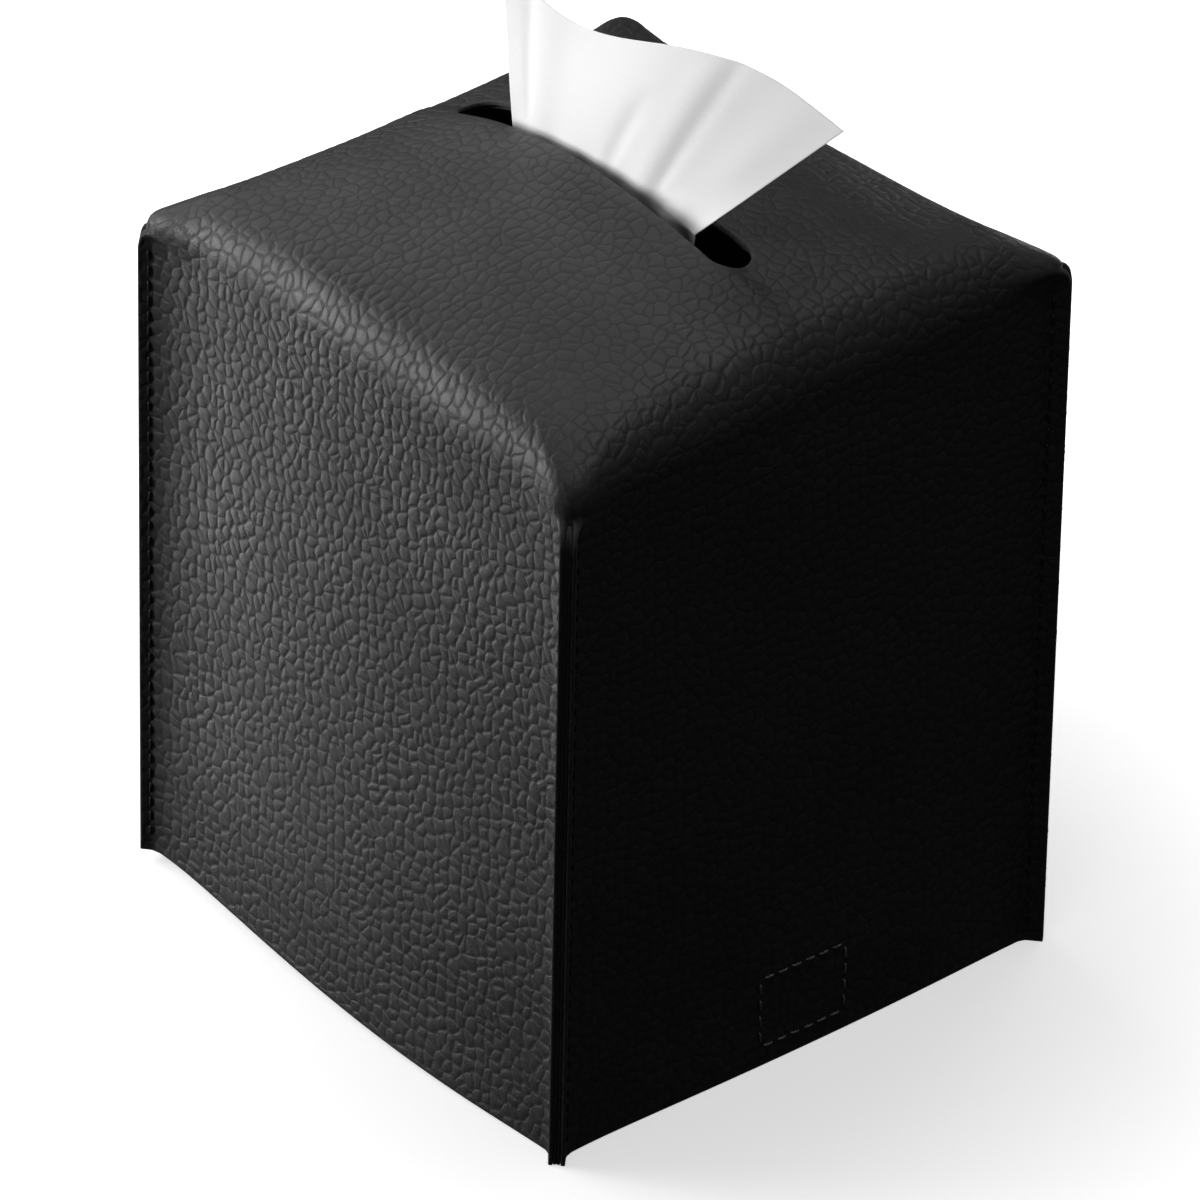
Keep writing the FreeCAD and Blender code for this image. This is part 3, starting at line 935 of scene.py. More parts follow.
    def bow(self, side: Side, along: Array, level: Array) -> Array:
        """Return how far a wall bellies out low down and is drawn in at its top.

        Args:
            side: The wall.
            along: Places along it, from its middle.
            level: Heights above the resting plane.

        Returns:
            Distances out of the wall.
        """
        arch = np.clip(1 - (along / self.bow_reach) ** 2, 0, 1)
        belly = self.bows[side.value] * arch * (1 + self.bow_skew[side.value] * along / self.bow_reach)
        swell = self.wave * ripple(along + 150.0 * side.value, level, pitch=58.0, seed=11)
        swell = swell * smooth(self.bow_reach - np.abs(along), 0, self.wave_fade)
        swell = swell * smooth(level, 0, self.wave_fade) * smooth(self.wave_top - level, 0, self.wave_fade)
        fade = np.clip(1 - level / self.belly_top, 0, 1) ** self.belly_power
        tuck = self.tucks[side.value] * arch * smooth(level, *self.tuck_levels)
        return belly * fade - tuck + swell

    def settle(self, points: Array) -> Array:
        """Return points moved as the soft cover has settled, corner by corner.

        Args:
            points: Points of the even form.

        Returns:
            The points after each corner has drifted at its foot and at its head.
        """
        x, y, z = points[..., 0], points[..., 1], points[..., 2]
        right, back = (np.clip(0.5 + place / self.settle_span, 0, 1) for place in (x, y))
        shares = (right * (1 - back), right * back, (1 - right) * back, (1 - right) * (1 - back))
        up = np.clip(z / self.eaves, 0, 1)
        moved = points.copy()
        for share, low, high in zip(shares, self.drift_low, self.drift_high):
            for axis in range(3):
                moved[..., axis] += share * (low[axis] * (1 - up) + high[axis] * up)
        return moved

    def follow(self, points: Array, side: Side) -> Array:
        """Return points moved with the belly of one wall and with the settled cover.

        Args:
            points: Points on or near the wall.
            side: The wall.

        Returns:
            The moved points.
        """
        along = points[..., :2] @ side.along
        shift = self.bow(side, along, points[..., 2])
        moved = points.copy()
        moved[..., :2] += shift[..., None] * side.out
        return self.settle(moved)

    def half_wall(self, layer: Layer, side: Side, sign: int) -> dict[str, Array]:
        """Return the rings of one half of a wall and of the top inside it.

        Args:
            layer: The surface to divide.
            side: The wall.
            sign: 1 for the half that ends at the next corner, -1 for the other.

        Returns:
            Points, flat-lay coordinates and relief shares, ring by ring from the middle to the corner.
        """
        corner = side.value if sign > 0 else (side.value - 1) % 4
        bend, half = self.bend - layer.depth, self.half - layer.depth
        wall_top = self.eaves - self.bend
        low = np.array([0.0, 0.3, 1.0]) * self.edge_round / wall_top
        climb = np.r_[low, np.linspace(low[-1], 1, layer.wall_rings)[1:]]
        chamfer = np.r_[np.array([1.0, 0.3]) * self.edge_round, np.zeros(len(climb) - 2)]
        turn = np.linspace(0, QUARTER_TURN, layer.bend_rings + 1)[1:]
        flat = np.zeros_like(turn)
        inset = np.r_[np.zeros_like(climb), bend * (1 - np.cos(turn))][:, None]
        rise = np.r_[climb, flat + 1][:, None]
        lift = np.r_[np.zeros_like(climb), bend * np.sin(turn)][:, None]
        level = rise * wall_top + lift
        run = half - bend + bend * np.r_[np.full_like(climb, QUARTER_TURN), QUARTER_TURN - turn][:, None]
        run = run + (1 - rise) * wall_top
        share = self.fin_share(level, corner) if layer.fins else np.zeros_like(level)

        if layer.fins:
            path, raw = self.fin_path(corner)
        else:
            path, raw = np.zeros((layer.corner_stations, 2)), np.zeros(layer.corner_stations, bool)
        tight = max(self.corner_radius - layer.depth, self.least_radius)
        radius = tight + self.corner_ease[corner] * (bend - tight) * inset / bend
        straight = half - inset - radius
        step = np.linspace(0, 1, layer.wall_stations + 1)[None, :-1]
        end = (1 - share) * straight + share * path[0, 0]
        along_wall = step * end
        out_wall = half - inset + share * (path[0, 1] - half) * step**self.fin_flare
        out_wall = out_wall - np.r_[chamfer, flat][:, None]
        angle = np.linspace(0, QUARTER_TURN / 2, len(path))[None]
        along_corner = (1 - share) * (straight + radius * np.sin(angle)) + share * path[:, 0]
        out_corner = (1 - share) * (straight + radius * np.cos(angle)) + share * path[:, 1]
        along = np.concatenate([along_wall, along_corner], axis=1)
        spread = self.bow_reach / np.minimum(self.bow_reach, straight + radius * math.sin(QUARTER_TURN / 2))
        out = np.concatenate([out_wall, out_corner], axis=1) + self.bow(side, sign * along * spread, level)
        head = self.fin_tops[corner]
        ruck = self.puckers[corner] * smooth(along, self.pucker_start * half, half)
        ruck = ruck * smooth(level, head - self.pucker_drop, head) * smooth(-level, *self.pucker_fade)
        along, out = along + ruck * (1 - share), out + ruck * (1 - share)

        fan = run - straight
        length = np.r_[0, np.cumsum(np.linalg.norm(np.diff(path, axis=0), axis=1))]
        lay_along = (1 - share) * (straight + fan * np.sin(angle)) + share * (path[0, 0] + length)
        lay_out = (1 - share) * (straight + fan * np.cos(angle)) + share * run
        lay_along = np.concatenate([along_wall, lay_along], axis=1)
        lay_out = np.concatenate([np.broadcast_to(run, along_wall.shape), lay_out], axis=1)

        plan = sign * along[..., None] * side.along + out[..., None] * side.out
        lay = sign * lay_along[..., None] * side.along + lay_out[..., None] * side.out
        height = self.crown(plan[..., 0], plan[..., 1]) - layer.depth
        z = rise * (height - bend) + lift

        last = plan[-1]
        steps = np.r_[0, np.cumsum(np.linalg.norm(np.diff(last, axis=0), axis=1))]
        inward = np.linspace(0, 1, layer.top_rings + 1)[1:, None, None]
        lip_along, lip_out = self.slot(side, steps / steps[-1], self.edge_round)
        lip = self.place_slot(sign * lip_along[:, None] * side.along + lip_out[:, None] * side.out)
        top = last + (lip - last) * inward
        top_z = self.crown(top[..., 0], top[..., 1]) - layer.depth
        if layer.fins:
            edge, fall = [], []
            for grow, sunk in self.lip_profile:
                at_along, at_out = self.slot(side, steps / steps[-1], grow * self.edge_round)
                edge.append(self.place_slot(sign * at_along[:, None] * side.along + at_out[:, None] * side.out))
                fall.append(top_z[-1] - sunk * self.edge_round)
            top = np.concatenate([top, np.array(edge)])
            top_z = np.concatenate([top_z, np.array(fall)])
        points = np.concatenate([np.dstack([plan, z]), np.dstack([top, top_z])])
        flat_lay = np.concatenate([lay, top])

        near = smooth(along / half, *self.calm_span) * np.ones_like(level)
        above = 1 - share if layer.fins else np.zeros_like(level)
        walls = 1 - self.fin_calm * near * above * smooth(level, head - self.calm_drop, head)
        walls = walls * (1 - self.bend_calm[side.value] * lift / bend) * smooth(level, 0.0, 1.2)
        cut = np.r_[np.zeros(layer.wall_stations, bool), raw][None]
        walls = np.where(cut & (share > 0.02), 0.0, walls)
        lips = np.linalg.norm(top - top[-1], axis=2)
        tops = (self.lip_grain + (1 - self.lip_grain) * smooth(lips, *self.lip_span)) * self.top_grain
        far = smooth(np.minimum(abs(top[..., 0]), abs(top[..., 1])), *self.far_span)
        tops = tops * (1 - self.far_calm * far)
        return {"points": points, "lay": flat_lay, "relief": np.concatenate([walls, tops]), "raw": raw}

    def surface(self, layer: Layer) -> dict[str, Array]:
        """Return the rings of one whole surface.

        Args:
            layer: The surface to divide.

        Returns:
            Points, flat-lay coordinates and relief shares of each ring, the flat-lay coordinates that the
            last span of each wall ends in, and which stations start a raw edge.
        """
        points, lay, relief, ends, raw = [], [], [], [], []
        for side in Side:
            before, after = self.half_wall(layer, side, -1), self.half_wall(layer, side, 1)
            for store, key in ((points, "points"), (lay, "lay"), (relief, "relief")):
                store.append(np.concatenate([before[key][:, :0:-1], after[key][:, :-1]], axis=1))
            ends.append(after["lay"][:, -1])
            pad = np.zeros(layer.wall_stations, bool)
            one = np.r_[pad, after["raw"]][:-1]
            raw.append(np.r_[one[::-1], one])
        made = {"points": self.settle(np.concatenate(points, axis=1)), "lay": np.concatenate(lay, axis=1)}
        made["lay"] = np.dstack([made["lay"], np.zeros(made["lay"].shape[:2])])
        made["relief"] = np.concatenate(relief, axis=1)
        made["ends"] = np.stack(ends, axis=1)
        made["raw"] = np.concatenate(raw)
        return made


@dataclass
class Cover:
    """The cover itself: leather skin, felt lining and corner seams."""

    form: CoverForm = field(default_factory=CoverForm)
    leather: float = 0.9
    wall: float = 1.6
    gap: float = 0.05
    grain_depth: float = 0.15
    thread: float = 0.25
    stitch_length: float = 2.6
    stitches: int = 40
    seam_low: float = 3.0
    seam_high: float = 138.0
    map_width: float = 424.0
    map_aside: float = 139.0
    inner_map: float = 0.3
    cap_map: float = 0.9
    fuzz: float = 0.12

    def map_corners(self, made: dict[str, Array], faces: Array, scale: float, shift: tuple[float, float]) -> Array:
        """Return map coordinates of each corner of a surface's faces.

        Args:
            made: Rings of the surface.
            faces: Its faces, in the order of its rings and stations.
            scale: Size of the map.
            shift: Place of the map's middle.

        Returns:
            Coordinates from 0 to 1, four for each face.
        """
        rings, stations = made["lay"].shape[:2]
        flat = made["lay"][..., :2].reshape(-1, 2)
        corners = flat[faces].reshape(rings - 1, stations, 4, 2)
        per_side = stations // 4
        for side in range(4):
            last = (side + 1) * per_side - 1
            ends = made["ends"][:, side]
            after = (last + 1) % stations
            for k in range(4):
                number = faces.reshape(rings - 1, stations, 4)[:, last, k]
                hit = number % stations == after
                ring = number // stations
                corners[:, last, k] = np.where(hit[:, None], ends[ring], corners[:, last, k])
        return (corners.reshape(-1, 2) * scale + np.array(shift)) / self.map_width + 0.5

    def shell(self, name: str, outer: Layer, inner: Layer, finishes: Sequence, main_outside: bool) -> bpy.types.Object:
        """Make a closed shell between two surfaces of the cover's form.

        Args:
            name: Name of the piece.
            outer: Its outside.
            inner: Its inside.
            finishes: Materials of its faces and of its raw edges.
            main_outside: The outside has the larger share of the map.

        Returns:
            The piece.
        """
        parts = MeshParts()
        loops, places = [], [(1.0, (0.0, 0.0)), (self.inner_map, (-self.map_aside, -self.map_aside))]
        for layer, flip in ((outer, False), (inner, True)):
            made = self.form.surface(layer)
            rings, stations = made["points"].shape[:2]
            faces = grid_faces(rings, stations, wrap=True, flip=flip)
            slot = np.zeros((rings - 1, stations), int)
            if layer.fins:
                level = made["points"][:-1, :, 2].mean(axis=1)
                slot[(level < max(self.form.fin_tops))[:, None] & made["raw"][None]] = 1
                slot[-len(self.form.lip_profile):] = 1
                slot[:2] = 1
            bake = self.map_corners(made, faces, *places[int(flip == main_outside)])
            start = parts.add(made["points"], faces, made["lay"], made["relief"], slot.ravel(), bake)
            loops.append((start, made["points"], stations, rings))
        for ring in (0, -1):
            ends = [points[ring] for _, points, _, _ in loops]
            numbers = np.concatenate([
                start + (rings - 1 if ring else 0) * stations + np.arange(stations)
                for start, _, stations, rings in loops
            ])
            order = ends if ring == 0 else ends[::-1]
            ids = numbers if ring == 0 else np.r_[numbers[loops[0][2]:], numbers[:loops[0][2]]]
            triangles = ring_cap(order[0], order[1], up=False)
            flat = np.concatenate(order)[:, :2]
            bake = (flat[triangles] * self.cap_map + self.map_aside) / self.map_width + 0.5
            parts.add_faces(ids[triangles], 1, bake)
        return parts.write(name, finishes)

    def leather_skin(self, finishes: Sequence[bpy.types.Material]) -> bpy.types.Object:
        """Make the leather with its fins and its pressed grain."""
        outer = Layer(0.0, wall_rings=216, bend_rings=24, top_rings=76, wall_stations=94, fins=True)
        inner = Layer(self.leather, wall_rings=36, bend_rings=8, top_rings=16, wall_stations=22)
        skin = self.shell("leather_skin", outer, inner, finishes, main_outside=True)
        PebbleGrain().press(skin, self.grain_depth)
        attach(skin, "cover")
        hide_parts("leather_shell")
        return skin

    def felt_lining(self, finishes: Sequence[bpy.types.Material]) -> bpy.types.Object:
        """Make the felt inside the leather, and the felt between the leaves of each fin."""
        outer = Layer(self.leather + self.gap, wall_rings=60, bend_rings=10, top_rings=30, wall_stations=40)
        inner = Layer(self.wall, wall_rings=110, bend_rings=14, top_rings=52, wall_stations=56)
        felt = self.shell("felt_lining", outer, inner, finishes, main_outside=False)
        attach(felt, "cover")
        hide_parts("lining")
        return felt

    def fin_felt(self, corner: Corner, finish: bpy.types.Material) -> bpy.types.Object:
        """Make the two plies of felt between the leaves of one fin."""
        form = self.form
        levels = np.linspace(0.15, form.fin_tops[corner.value] - 0.2, 150)
        half = form.felt_half - self.gap
        deep = form.fin_depth - 0.1
        shape = np.array([
            (-deep, 0.0), (-deep, half), (-1.9, half), (-0.3, half), (-0.08, half - 0.2), (-0.05, 0.3), (-0.45, 0.0),
            (-0.05, -0.3), (-0.08, 0.2 - half), (-0.3, -half), (-1.9, -half), (-deep, -half),
        ])
        share = form.fin_share(levels, corner.value)[:, None]
        base = form.fin_tip - form.fin_depth
        out = base + (form.fin_tip - base + shape[None, :, 0]) * share
        stations = np.arange(len(shape))[None]
        frayed = self.fuzz * ripple(levels[:, None] * 3.0, stations * 3.0, pitch=4.0, seed=21 + corner.value)
        out = out + frayed * (shape[None, :, 0] > -1)
        wide = np.broadcast_to(shape[None, :, 1], out.shape) * (0.4 + 0.6 * share)
        plan = out[..., None] * corner.out + wide[..., None] * corner.across
        points = form.settle(np.dstack([plan, np.broadcast_to(levels[:, None], out.shape)]))
        parts = MeshParts()
        count = len(shape)
        faces = grid_faces(len(levels), count, wrap=True)
        parts.add(points, faces, lay=np.dstack([out, wide * 4, np.broadcast_to(levels[:, None], out.shape)]))
        fan = np.array([(0, k, k + 1) for k in range(1, count - 1)])
        parts.add_faces(fan[:, ::-1])
        parts.add_faces(fan + (len(levels) - 1) * count)
        felt = parts.write(f"fin_felt_{corner.name.lower()}", [finish])
        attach(felt, "cover")
        return felt

    def corner_seam(self, corner: Corner, finish: bpy.types.Material) -> bpy.types.Object:
        """Make the row of stitches at the root of one fin."""
        form = self.form
        reach = form.fin_tip - form.leaf[corner.value] + 0.45
        foot = np.r_[corner.out * reach, self.seam_low]
        head = np.r_[corner.out * reach, self.seam_high]
        rows = [SeamRow(foot, head, np.r_[corner.across, 0.0], 2 * form.fin_half + 0.3, self.stitches)]
        seam = sew(f"corner_stitches_{corner.name.lower()}_thread", rows, self.stitch_length, self.thread, finish,
                   seed=40 + corner.value, settle=form.settle)
        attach(seam, "cover")
        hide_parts(f"corner_stitches_{corner.name.lower()}")
        return seam


# Sewing


@dataclass(frozen=True)
class SeamRow:
    """A row of stitches from one point to another, through a span along a direction."""

    start: Array
    end: Array
    through: Array
    span: float
    count: int


def seam_box(centre: Array, across: Array, up: Array, through: Array, span: float, pitch: float, clear: float) -> list:
    """Return the four rows of a rectangle of stitches.

    Args:
        centre: Middle of the rectangle.
        across: Half of one side.
        up: Half of the other side.
        through: Direction of the needle.
        span: Thickness of what is sewn.
        pitch: One stitch to the next.
        clear: Rows end this far before the corners.

    Returns:
        The rows.
    """
    corners = [centre - across - up, centre + across - up, centre + across + up, centre - across + up]
    rows = []
    for start, end in zip(corners, corners[1:] + corners[:1]):
        run = end - start
        step = run / np.linalg.norm(run) * clear
        count = max(1, round((np.linalg.norm(run) - 2 * clear) / pitch))
        rows.append(SeamRow(start + step, end - step, through, span, count))
    return rows


def sew(name: str, rows: Sequence[SeamRow], length: float, radius: float, finish: bpy.types.Material,
        seed: int, settle: Optional[Callable[[Array], Array]] = None) -> bpy.types.Object:
    """Make the twisted thread of some rows of stitches, each a closed loop through what it holds.

    Args:
        name: Name of the piece.
        rows: Rows of stitches.
        length: One stitch on the surface.
        radius: Half of the thread's thickness.
        finish: Material of the thread.
        seed: Picks the small differences between stitches.
        settle: Moves the points as the soft cover has moved.

    Returns:
        The piece.
    """
    draw = np.random.default_rng(seed)
    rings, sides = 40, 9
    lobes, lobe_depth, twists = 3, 0.16, 5
    turn = np.linspace(0, 2 * math.pi, rings, endpoint=False)
    power = 0.42
    wide = np.sign(np.cos(turn)) * np.abs(np.cos(turn)) ** power
    deep = np.sign(np.sin(turn)) * np.abs(np.sin(turn)) ** power
    parts = MeshParts()
    for row in rows:
        run = row.end - row.start
        along = run / np.linalg.norm(run)
        side = np.cross(along, row.through)
        for index in range(row.count):
            slant = draw.normal(0, 0.05)
            reach = (length / 2 - radius) * draw.uniform(0.95, 1.04)
            middle = row.start + run * (index + 0.5) / row.count + side * draw.normal(0, 0.03)
            lie = along * math.cos(slant) + side * math.sin(slant)
            path = middle + reach * wide[:, None] * lie + row.span / 2 * deep[:, None] * row.through
            ahead = np.roll(path, -1, axis=0) - np.roll(path, 1, axis=0)
            ahead /= np.linalg.norm(ahead, axis=1)[:, None]
            normal = np.cross(lie, row.through)
            second = np.cross(ahead, normal)
            around = np.linspace(0, 2 * math.pi, sides, endpoint=False)[None]
            twist = turn[:, None] * twists
            thick = radius * (1 + lobe_depth * np.cos(lobes * (around - twist)))
            way = np.cos(around)[..., None] * normal + np.sin(around)[..., None] * second[:, None]
            points = path[:, None] + thick[..., None] * way
            lay = np.dstack([
                np.broadcast_to(turn[:, None] * reach + index * 7.0, thick.shape),
                (around - twist) / 2,
                np.zeros(thick.shape),
            ])
            parts.add(points, tube_faces(1, rings, sides, closed=True), lay)
    if settle is not None:
        parts.points = [settle(points) for points in parts.points]
    return parts.write(name, [finish])


# Belt


@dataclass(frozen=True)
class BeltSizes:
    """Sizes that both straps share."""

    width: float = 25.0
    thickness: float = 1.2
    fold_x: float = 57.5
    inner_half: float = 58.4
    fold_gap: float = 0.3
    fold_radius: float = 1.5
    seam_inset: float = 2.0
    seam_height: float = 15.0
    patch_length: float = 28.0
    patch_thickness: float = 1.2
    patch_inset: float = 1.5
    ground: float = 0.45
    pitch: float = 3.4
    stitch: float = 2.6
    thread: float = 0.22
    rib: float = 1.05
    yarn: float = 0.16
    wall: float = 1.6
    half: float = 60.0


class TapeKind(Enum):
    """Halves of the touch fastener."""

    HOOK = "hook"
    LOOP = "loop"


@dataclass
class BeltStrap:
    """One strap of the belt: sewn end, fold, free part, its half of the touch fastener and its thread."""

    kind: TapeKind
    sign: int
    fold_z: float
    length: float
    form: CoverForm
    sizes: BeltSizes = field(default_factory=BeltSizes)

    @property
    def body(self) -> str:
        """Body that the strap's half of the touch fastener and its thread move with."""
        return "lower_strap" if self.kind is TapeKind.HOOK else "upper_strap"

    @property
    def facing(self) -> int:
        """Side of the strap that the fastener is on, up or down."""
        return 1 if self.kind is TapeKind.HOOK else -1

    @property
    def foot(self) -> float:
        """Lower end of the sewn part."""
        return self.fold_z + self.sizes.thickness / 2 + self.sizes.fold_gap

    @property
    def wall_side(self) -> Side:
        """Wall that the strap is sewn to."""
        return Side.RIGHT if self.sign > 0 else Side.LEFT

    def follow_wall(self, points: Array) -> Array:
        """Return points moved with the wall that the strap is sewn to."""
        return self.form.follow(points, self.wall_side)

    def centreline(self, step: float) -> tuple[Array, Array, Array]:
        """Return the strap's middle line from the top of its sewn end to its tip.

        Args:
            step: Distance between points.

        Returns:
            Distances along the strap, places across and up, and directions out of its face.
        """
        s = self.sizes
        wall_x = s.inner_half - s.thickness / 2
        head = self.foot + s.seam_height + 2 * s.seam_inset
        bend = s.fold_radius
        corner = np.array((wall_x - bend, self.fold_z + bend))
        down = head - corner[1]
        arc = bend * QUARTER_TURN
        flat = self.length - (s.fold_x - corner[0])
        run = np.arange(0, down + arc + flat + step / 2, step)
        angle = np.clip((run - down) / bend, 0, QUARTER_TURN)
        past = np.clip(run - down - arc, 0, None)
        x = corner[0] + bend * np.cos(angle) - past
        z = corner[1] - bend * np.sin(angle) + np.clip(down - run, 0, None)
        out = np.stack([np.cos(angle), -np.sin(angle)], axis=1)
        return run, np.stack([x, z], axis=1), out

    def webbing(self, finish: bpy.types.Material) -> bpy.types.Object:
        """Make the woven strap in one piece from its sewn end to its tip."""
        s = self.sizes
        run, line, out = self.centreline(0.3)
        across = np.linspace(-1, 1, 92)
        loop = np.r_[across, across[::-1]]
        face = np.r_[np.ones_like(across), -np.ones_like(across)]
        edge = np.clip((1 - np.abs(loop)) / 0.03, 0, 1) ** 0.5
        place = loop * s.width / 2
        column = np.floor(place / s.rib)
        yarn = np.abs(np.cos(math.pi * (place / s.rib - column - 0.5))) ** 0.6
        over = 0.5 + 0.5 * np.cos(math.pi * run[:, None] / s.rib + math.pi * (column % 2) + (face < 0) * math.pi)
        thick = (s.thickness / 2 - s.yarn) * edge + s.yarn * yarn * over * edge
        frayed = 0.1 * ripple(run[:, None], place[None], pitch=2.2, seed=5)
        thick = thick + frayed * 0.3 * edge
        offset = thick * face
        x = (line[:, None, 0] + offset * out[:, None, 0]) * self.sign
        z = line[:, None, 1] + offset * out[:, None, 1]
        y = np.broadcast_to(place + 0.12 * np.sign(loop) * (1 - edge), x.shape)
        points = np.dstack([x, y, z])
        points = points + (self.follow_wall(points) - points) * smooth(np.abs(x), 44, 57)[..., None]
        lay = np.dstack([np.broadcast_to(run[:, None], x.shape), y, np.broadcast_to(face * 9.0, x.shape)])
        parts = MeshParts()
        count = len(loop)
        flip = self.sign < 0
        parts.add(points, grid_faces(len(run), count, wrap=True, flip=not flip), lay)
        half = count // 2
        low = np.array([(k, k + 1, count - 2 - k, count - 1 - k) for k in range(half - 1)])
        high = low + (len(run) - 1) * count
        parts.add_faces(low if not flip else low[:, ::-1])
        parts.add_faces(high[:, ::-1] if not flip else high)
        strap = parts.write(f"{self.kind.value}_webbing", [finish])
        self.body
        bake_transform(strap)
        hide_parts(f"{self.kind.value}_strap_anchor", f"{self.kind.value}_strap")
        return strap

    def patch_box(self) -> tuple[float, float, float]:
        """Return the patch's middle along X, its face towards the strap and its half length."""
        s = self.sizes
        tip = s.fold_x - self.length + s.patch_inset
        middle = (tip + s.patch_length / 2) * self.sign
        return middle, self.fold_z + self.facing * s.thickness / 2, s.patch_length / 2

    def patch(self, ground: bpy.types.Material, pile: bpy.types.Material) -> bpy.types.Object:
        """Make this strap's half of the touch fastener: a woven ground with its hooks or loops."""
        s = self.sizes
        middle, base, half = self.patch_box()
        half_width = s.width / 2 - s.patch_inset
        parts = MeshParts()
        along, across = np.linspace(-half, half, 120), np.linspace(-half_width, half_width, 92)
        u, v = np.meshgrid(along, across, indexing="ij")
        rim = np.minimum(half - np.abs(u), half_width - np.abs(v))
        woven = np.abs(np.sin(math.pi * u / 0.9) * np.sin(math.pi * v / 0.9)) ** 0.5
        top = s.ground - 0.12 + 0.12 * woven
        top = top * np.clip(0.35 + rim / 0.5, 0, 1)
        lay = np.dstack([u, v, np.zeros_like(u)])
        rows, columns = u.shape
        for height, flip in ((top, self.facing < 0), (np.full_like(u, 0.02), self.facing > 0)):
            points = np.dstack([middle + u, v, base + self.facing * height])
            parts.add(points, grid_faces(rows, columns, wrap=False, flip=flip), lay)
        border = grid_border(rows, columns)
        after = np.roll(border, -1)
        wall = np.stack([border, after, after + rows * columns, border + rows * columns], axis=1)
        parts.add_faces(wall if self.facing > 0 else wall[:, ::-1])
        if self.kind is TapeKind.HOOK:
            self.add_hooks(parts, middle, base, half - 2.2, half_width - 2.2)
        else:
            self.add_loops(parts, middle, base, half - 0.8, half_width - 0.8)
        tape = parts.write(f"{self.kind.value}_tape", [ground, pile])
        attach(tape, self.body)
        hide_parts(f"{self.kind.value}_patch")
        return tape

    def add_tubes(self, parts: MeshParts, paths: Array, radius: float, sides: int, middle: float, base: float) -> None:
        """Add many thin tubes that stand on the ground of a patch.

        Args:
            parts: The patch under construction.
            paths: Points of each tube, along, across and up.
            radius: Half of a tube's thickness.
            sides: Points round a tube.
            middle: The patch's middle along X.
            base: The patch's face towards the strap.
        """
        ahead = np.gradient(paths, axis=1)
        ahead /= np.linalg.norm(ahead, axis=2, keepdims=True)
        chord = paths[:, -1] - paths[:, 0]
        normal = np.stack([-chord[:, 1], chord[:, 0], np.zeros(len(chord))], axis=1)
        normal /= np.linalg.norm(normal, axis=1, keepdims=True)
        normal = np.broadcast_to(normal[:, None], paths.shape)
        second = np.cross(ahead, normal)
        around = np.linspace(0, 2 * math.pi, sides, endpoint=False)[None, None, :, None]
        ring = np.cos(around) * normal[:, :, None] + np.sin(around) * second[:, :, None]
        points = paths[:, :, None] + radius * ring
        count, rings = paths.shape[:2]
        faces = tube_faces(count, rings, sides, closed=False)
        ends = np.arange(sides)[None] + np.arange(count)[:, None] * rings * sides
        placed = np.stack([
            middle + points[..., 0], points[..., 1], base + self.facing * points[..., 2]
        ], axis=-1)
        if self.facing < 0:
            faces, ends = faces[:, ::-1], ends[:, ::-1]
        start = parts.add(placed, faces, points.reshape(-1, 3), slot=1)
        fan = [np.stack([ends[:, 0], ends[:, k + 1], ends[:, k]], axis=1) for k in range(1, sides - 1)]
        fan = np.stack(fan, axis=1).reshape(-1, 3)
        parts.add_faces(fan + start, 1)
        parts.add_faces(fan[:, ::-1] + start + (rings - 1) * sides, 1)

    def add_hooks(self, parts: MeshParts, middle: float, base: float, half: float, half_width: float) -> None:
        """Add rows of moulded hooks to a patch."""
        s = self.sizes
        draw = np.random.default_rng(61)
        u, v = np.meshgrid(np.arange(-half, half + 0.1, 1.15), np.arange(-half_width, half_width + 0.1, 1.0))
        foot = np.stack([u.ravel(), v.ravel()], axis=1)
        foot = foot + draw.normal(0, 0.05, foot.shape)
        way = np.where((np.round(v.ravel()) % 2) > 0, 1.0, -1.0)
        tall = s.patch_thickness - 0.1
        stem = np.array([
            (0.0, 0.25), (0.0, tall - 0.3), (0.07, tall - 0.14),
            (0.22, tall - 0.07), (0.36, tall - 0.14), (0.4, tall - 0.3),
        ])
        paths = np.stack([
            foot[:, None, 0] + way[:, None] * stem[None, :, 0],
            np.broadcast_to(foot[:, None, 1], (len(foot), len(stem))),
            np.broadcast_to(stem[None, :, 1], (len(foot), len(stem))),
        ], axis=-1)
        self.add_tubes(parts, paths, 0.075, 6, middle, base)

    def add_loops(self, parts: MeshParts, middle: float, base: float, half: float, half_width: float) -> None:
        """Add a pile of fine loops to a patch."""
        s = self.sizes
        draw = np.random.default_rng(62)
        count, rings = 2400, 8
        foot = np.stack([draw.uniform(-half, half, count), draw.uniform(-half_width, half_width, count)], axis=1)
        angle = draw.uniform(0, 2 * math.pi, count)
        wide = draw.uniform(0.25, 0.5, count)
        tall = draw.uniform(0.45, 0.98, count) * (s.patch_thickness - 0.06 - s.ground)
        lean = draw.normal(0, 0.22, (count, 2))
        turn = np.linspace(0, math.pi, rings)
        reach = -wide[:, None] * np.cos(turn)
        up = s.ground - 0.1 + (tall[:, None] + 0.1) * np.sin(turn)
        paths = np.stack([
            foot[:, None, 0] + reach * np.cos(angle)[:, None] + lean[:, None, 0] * np.sin(turn),
            foot[:, None, 1] + reach * np.sin(angle)[:, None] + lean[:, None, 1] * np.sin(turn),
            up,
        ], axis=-1)
        self.add_tubes(parts, paths, 0.04, 4, middle, base)

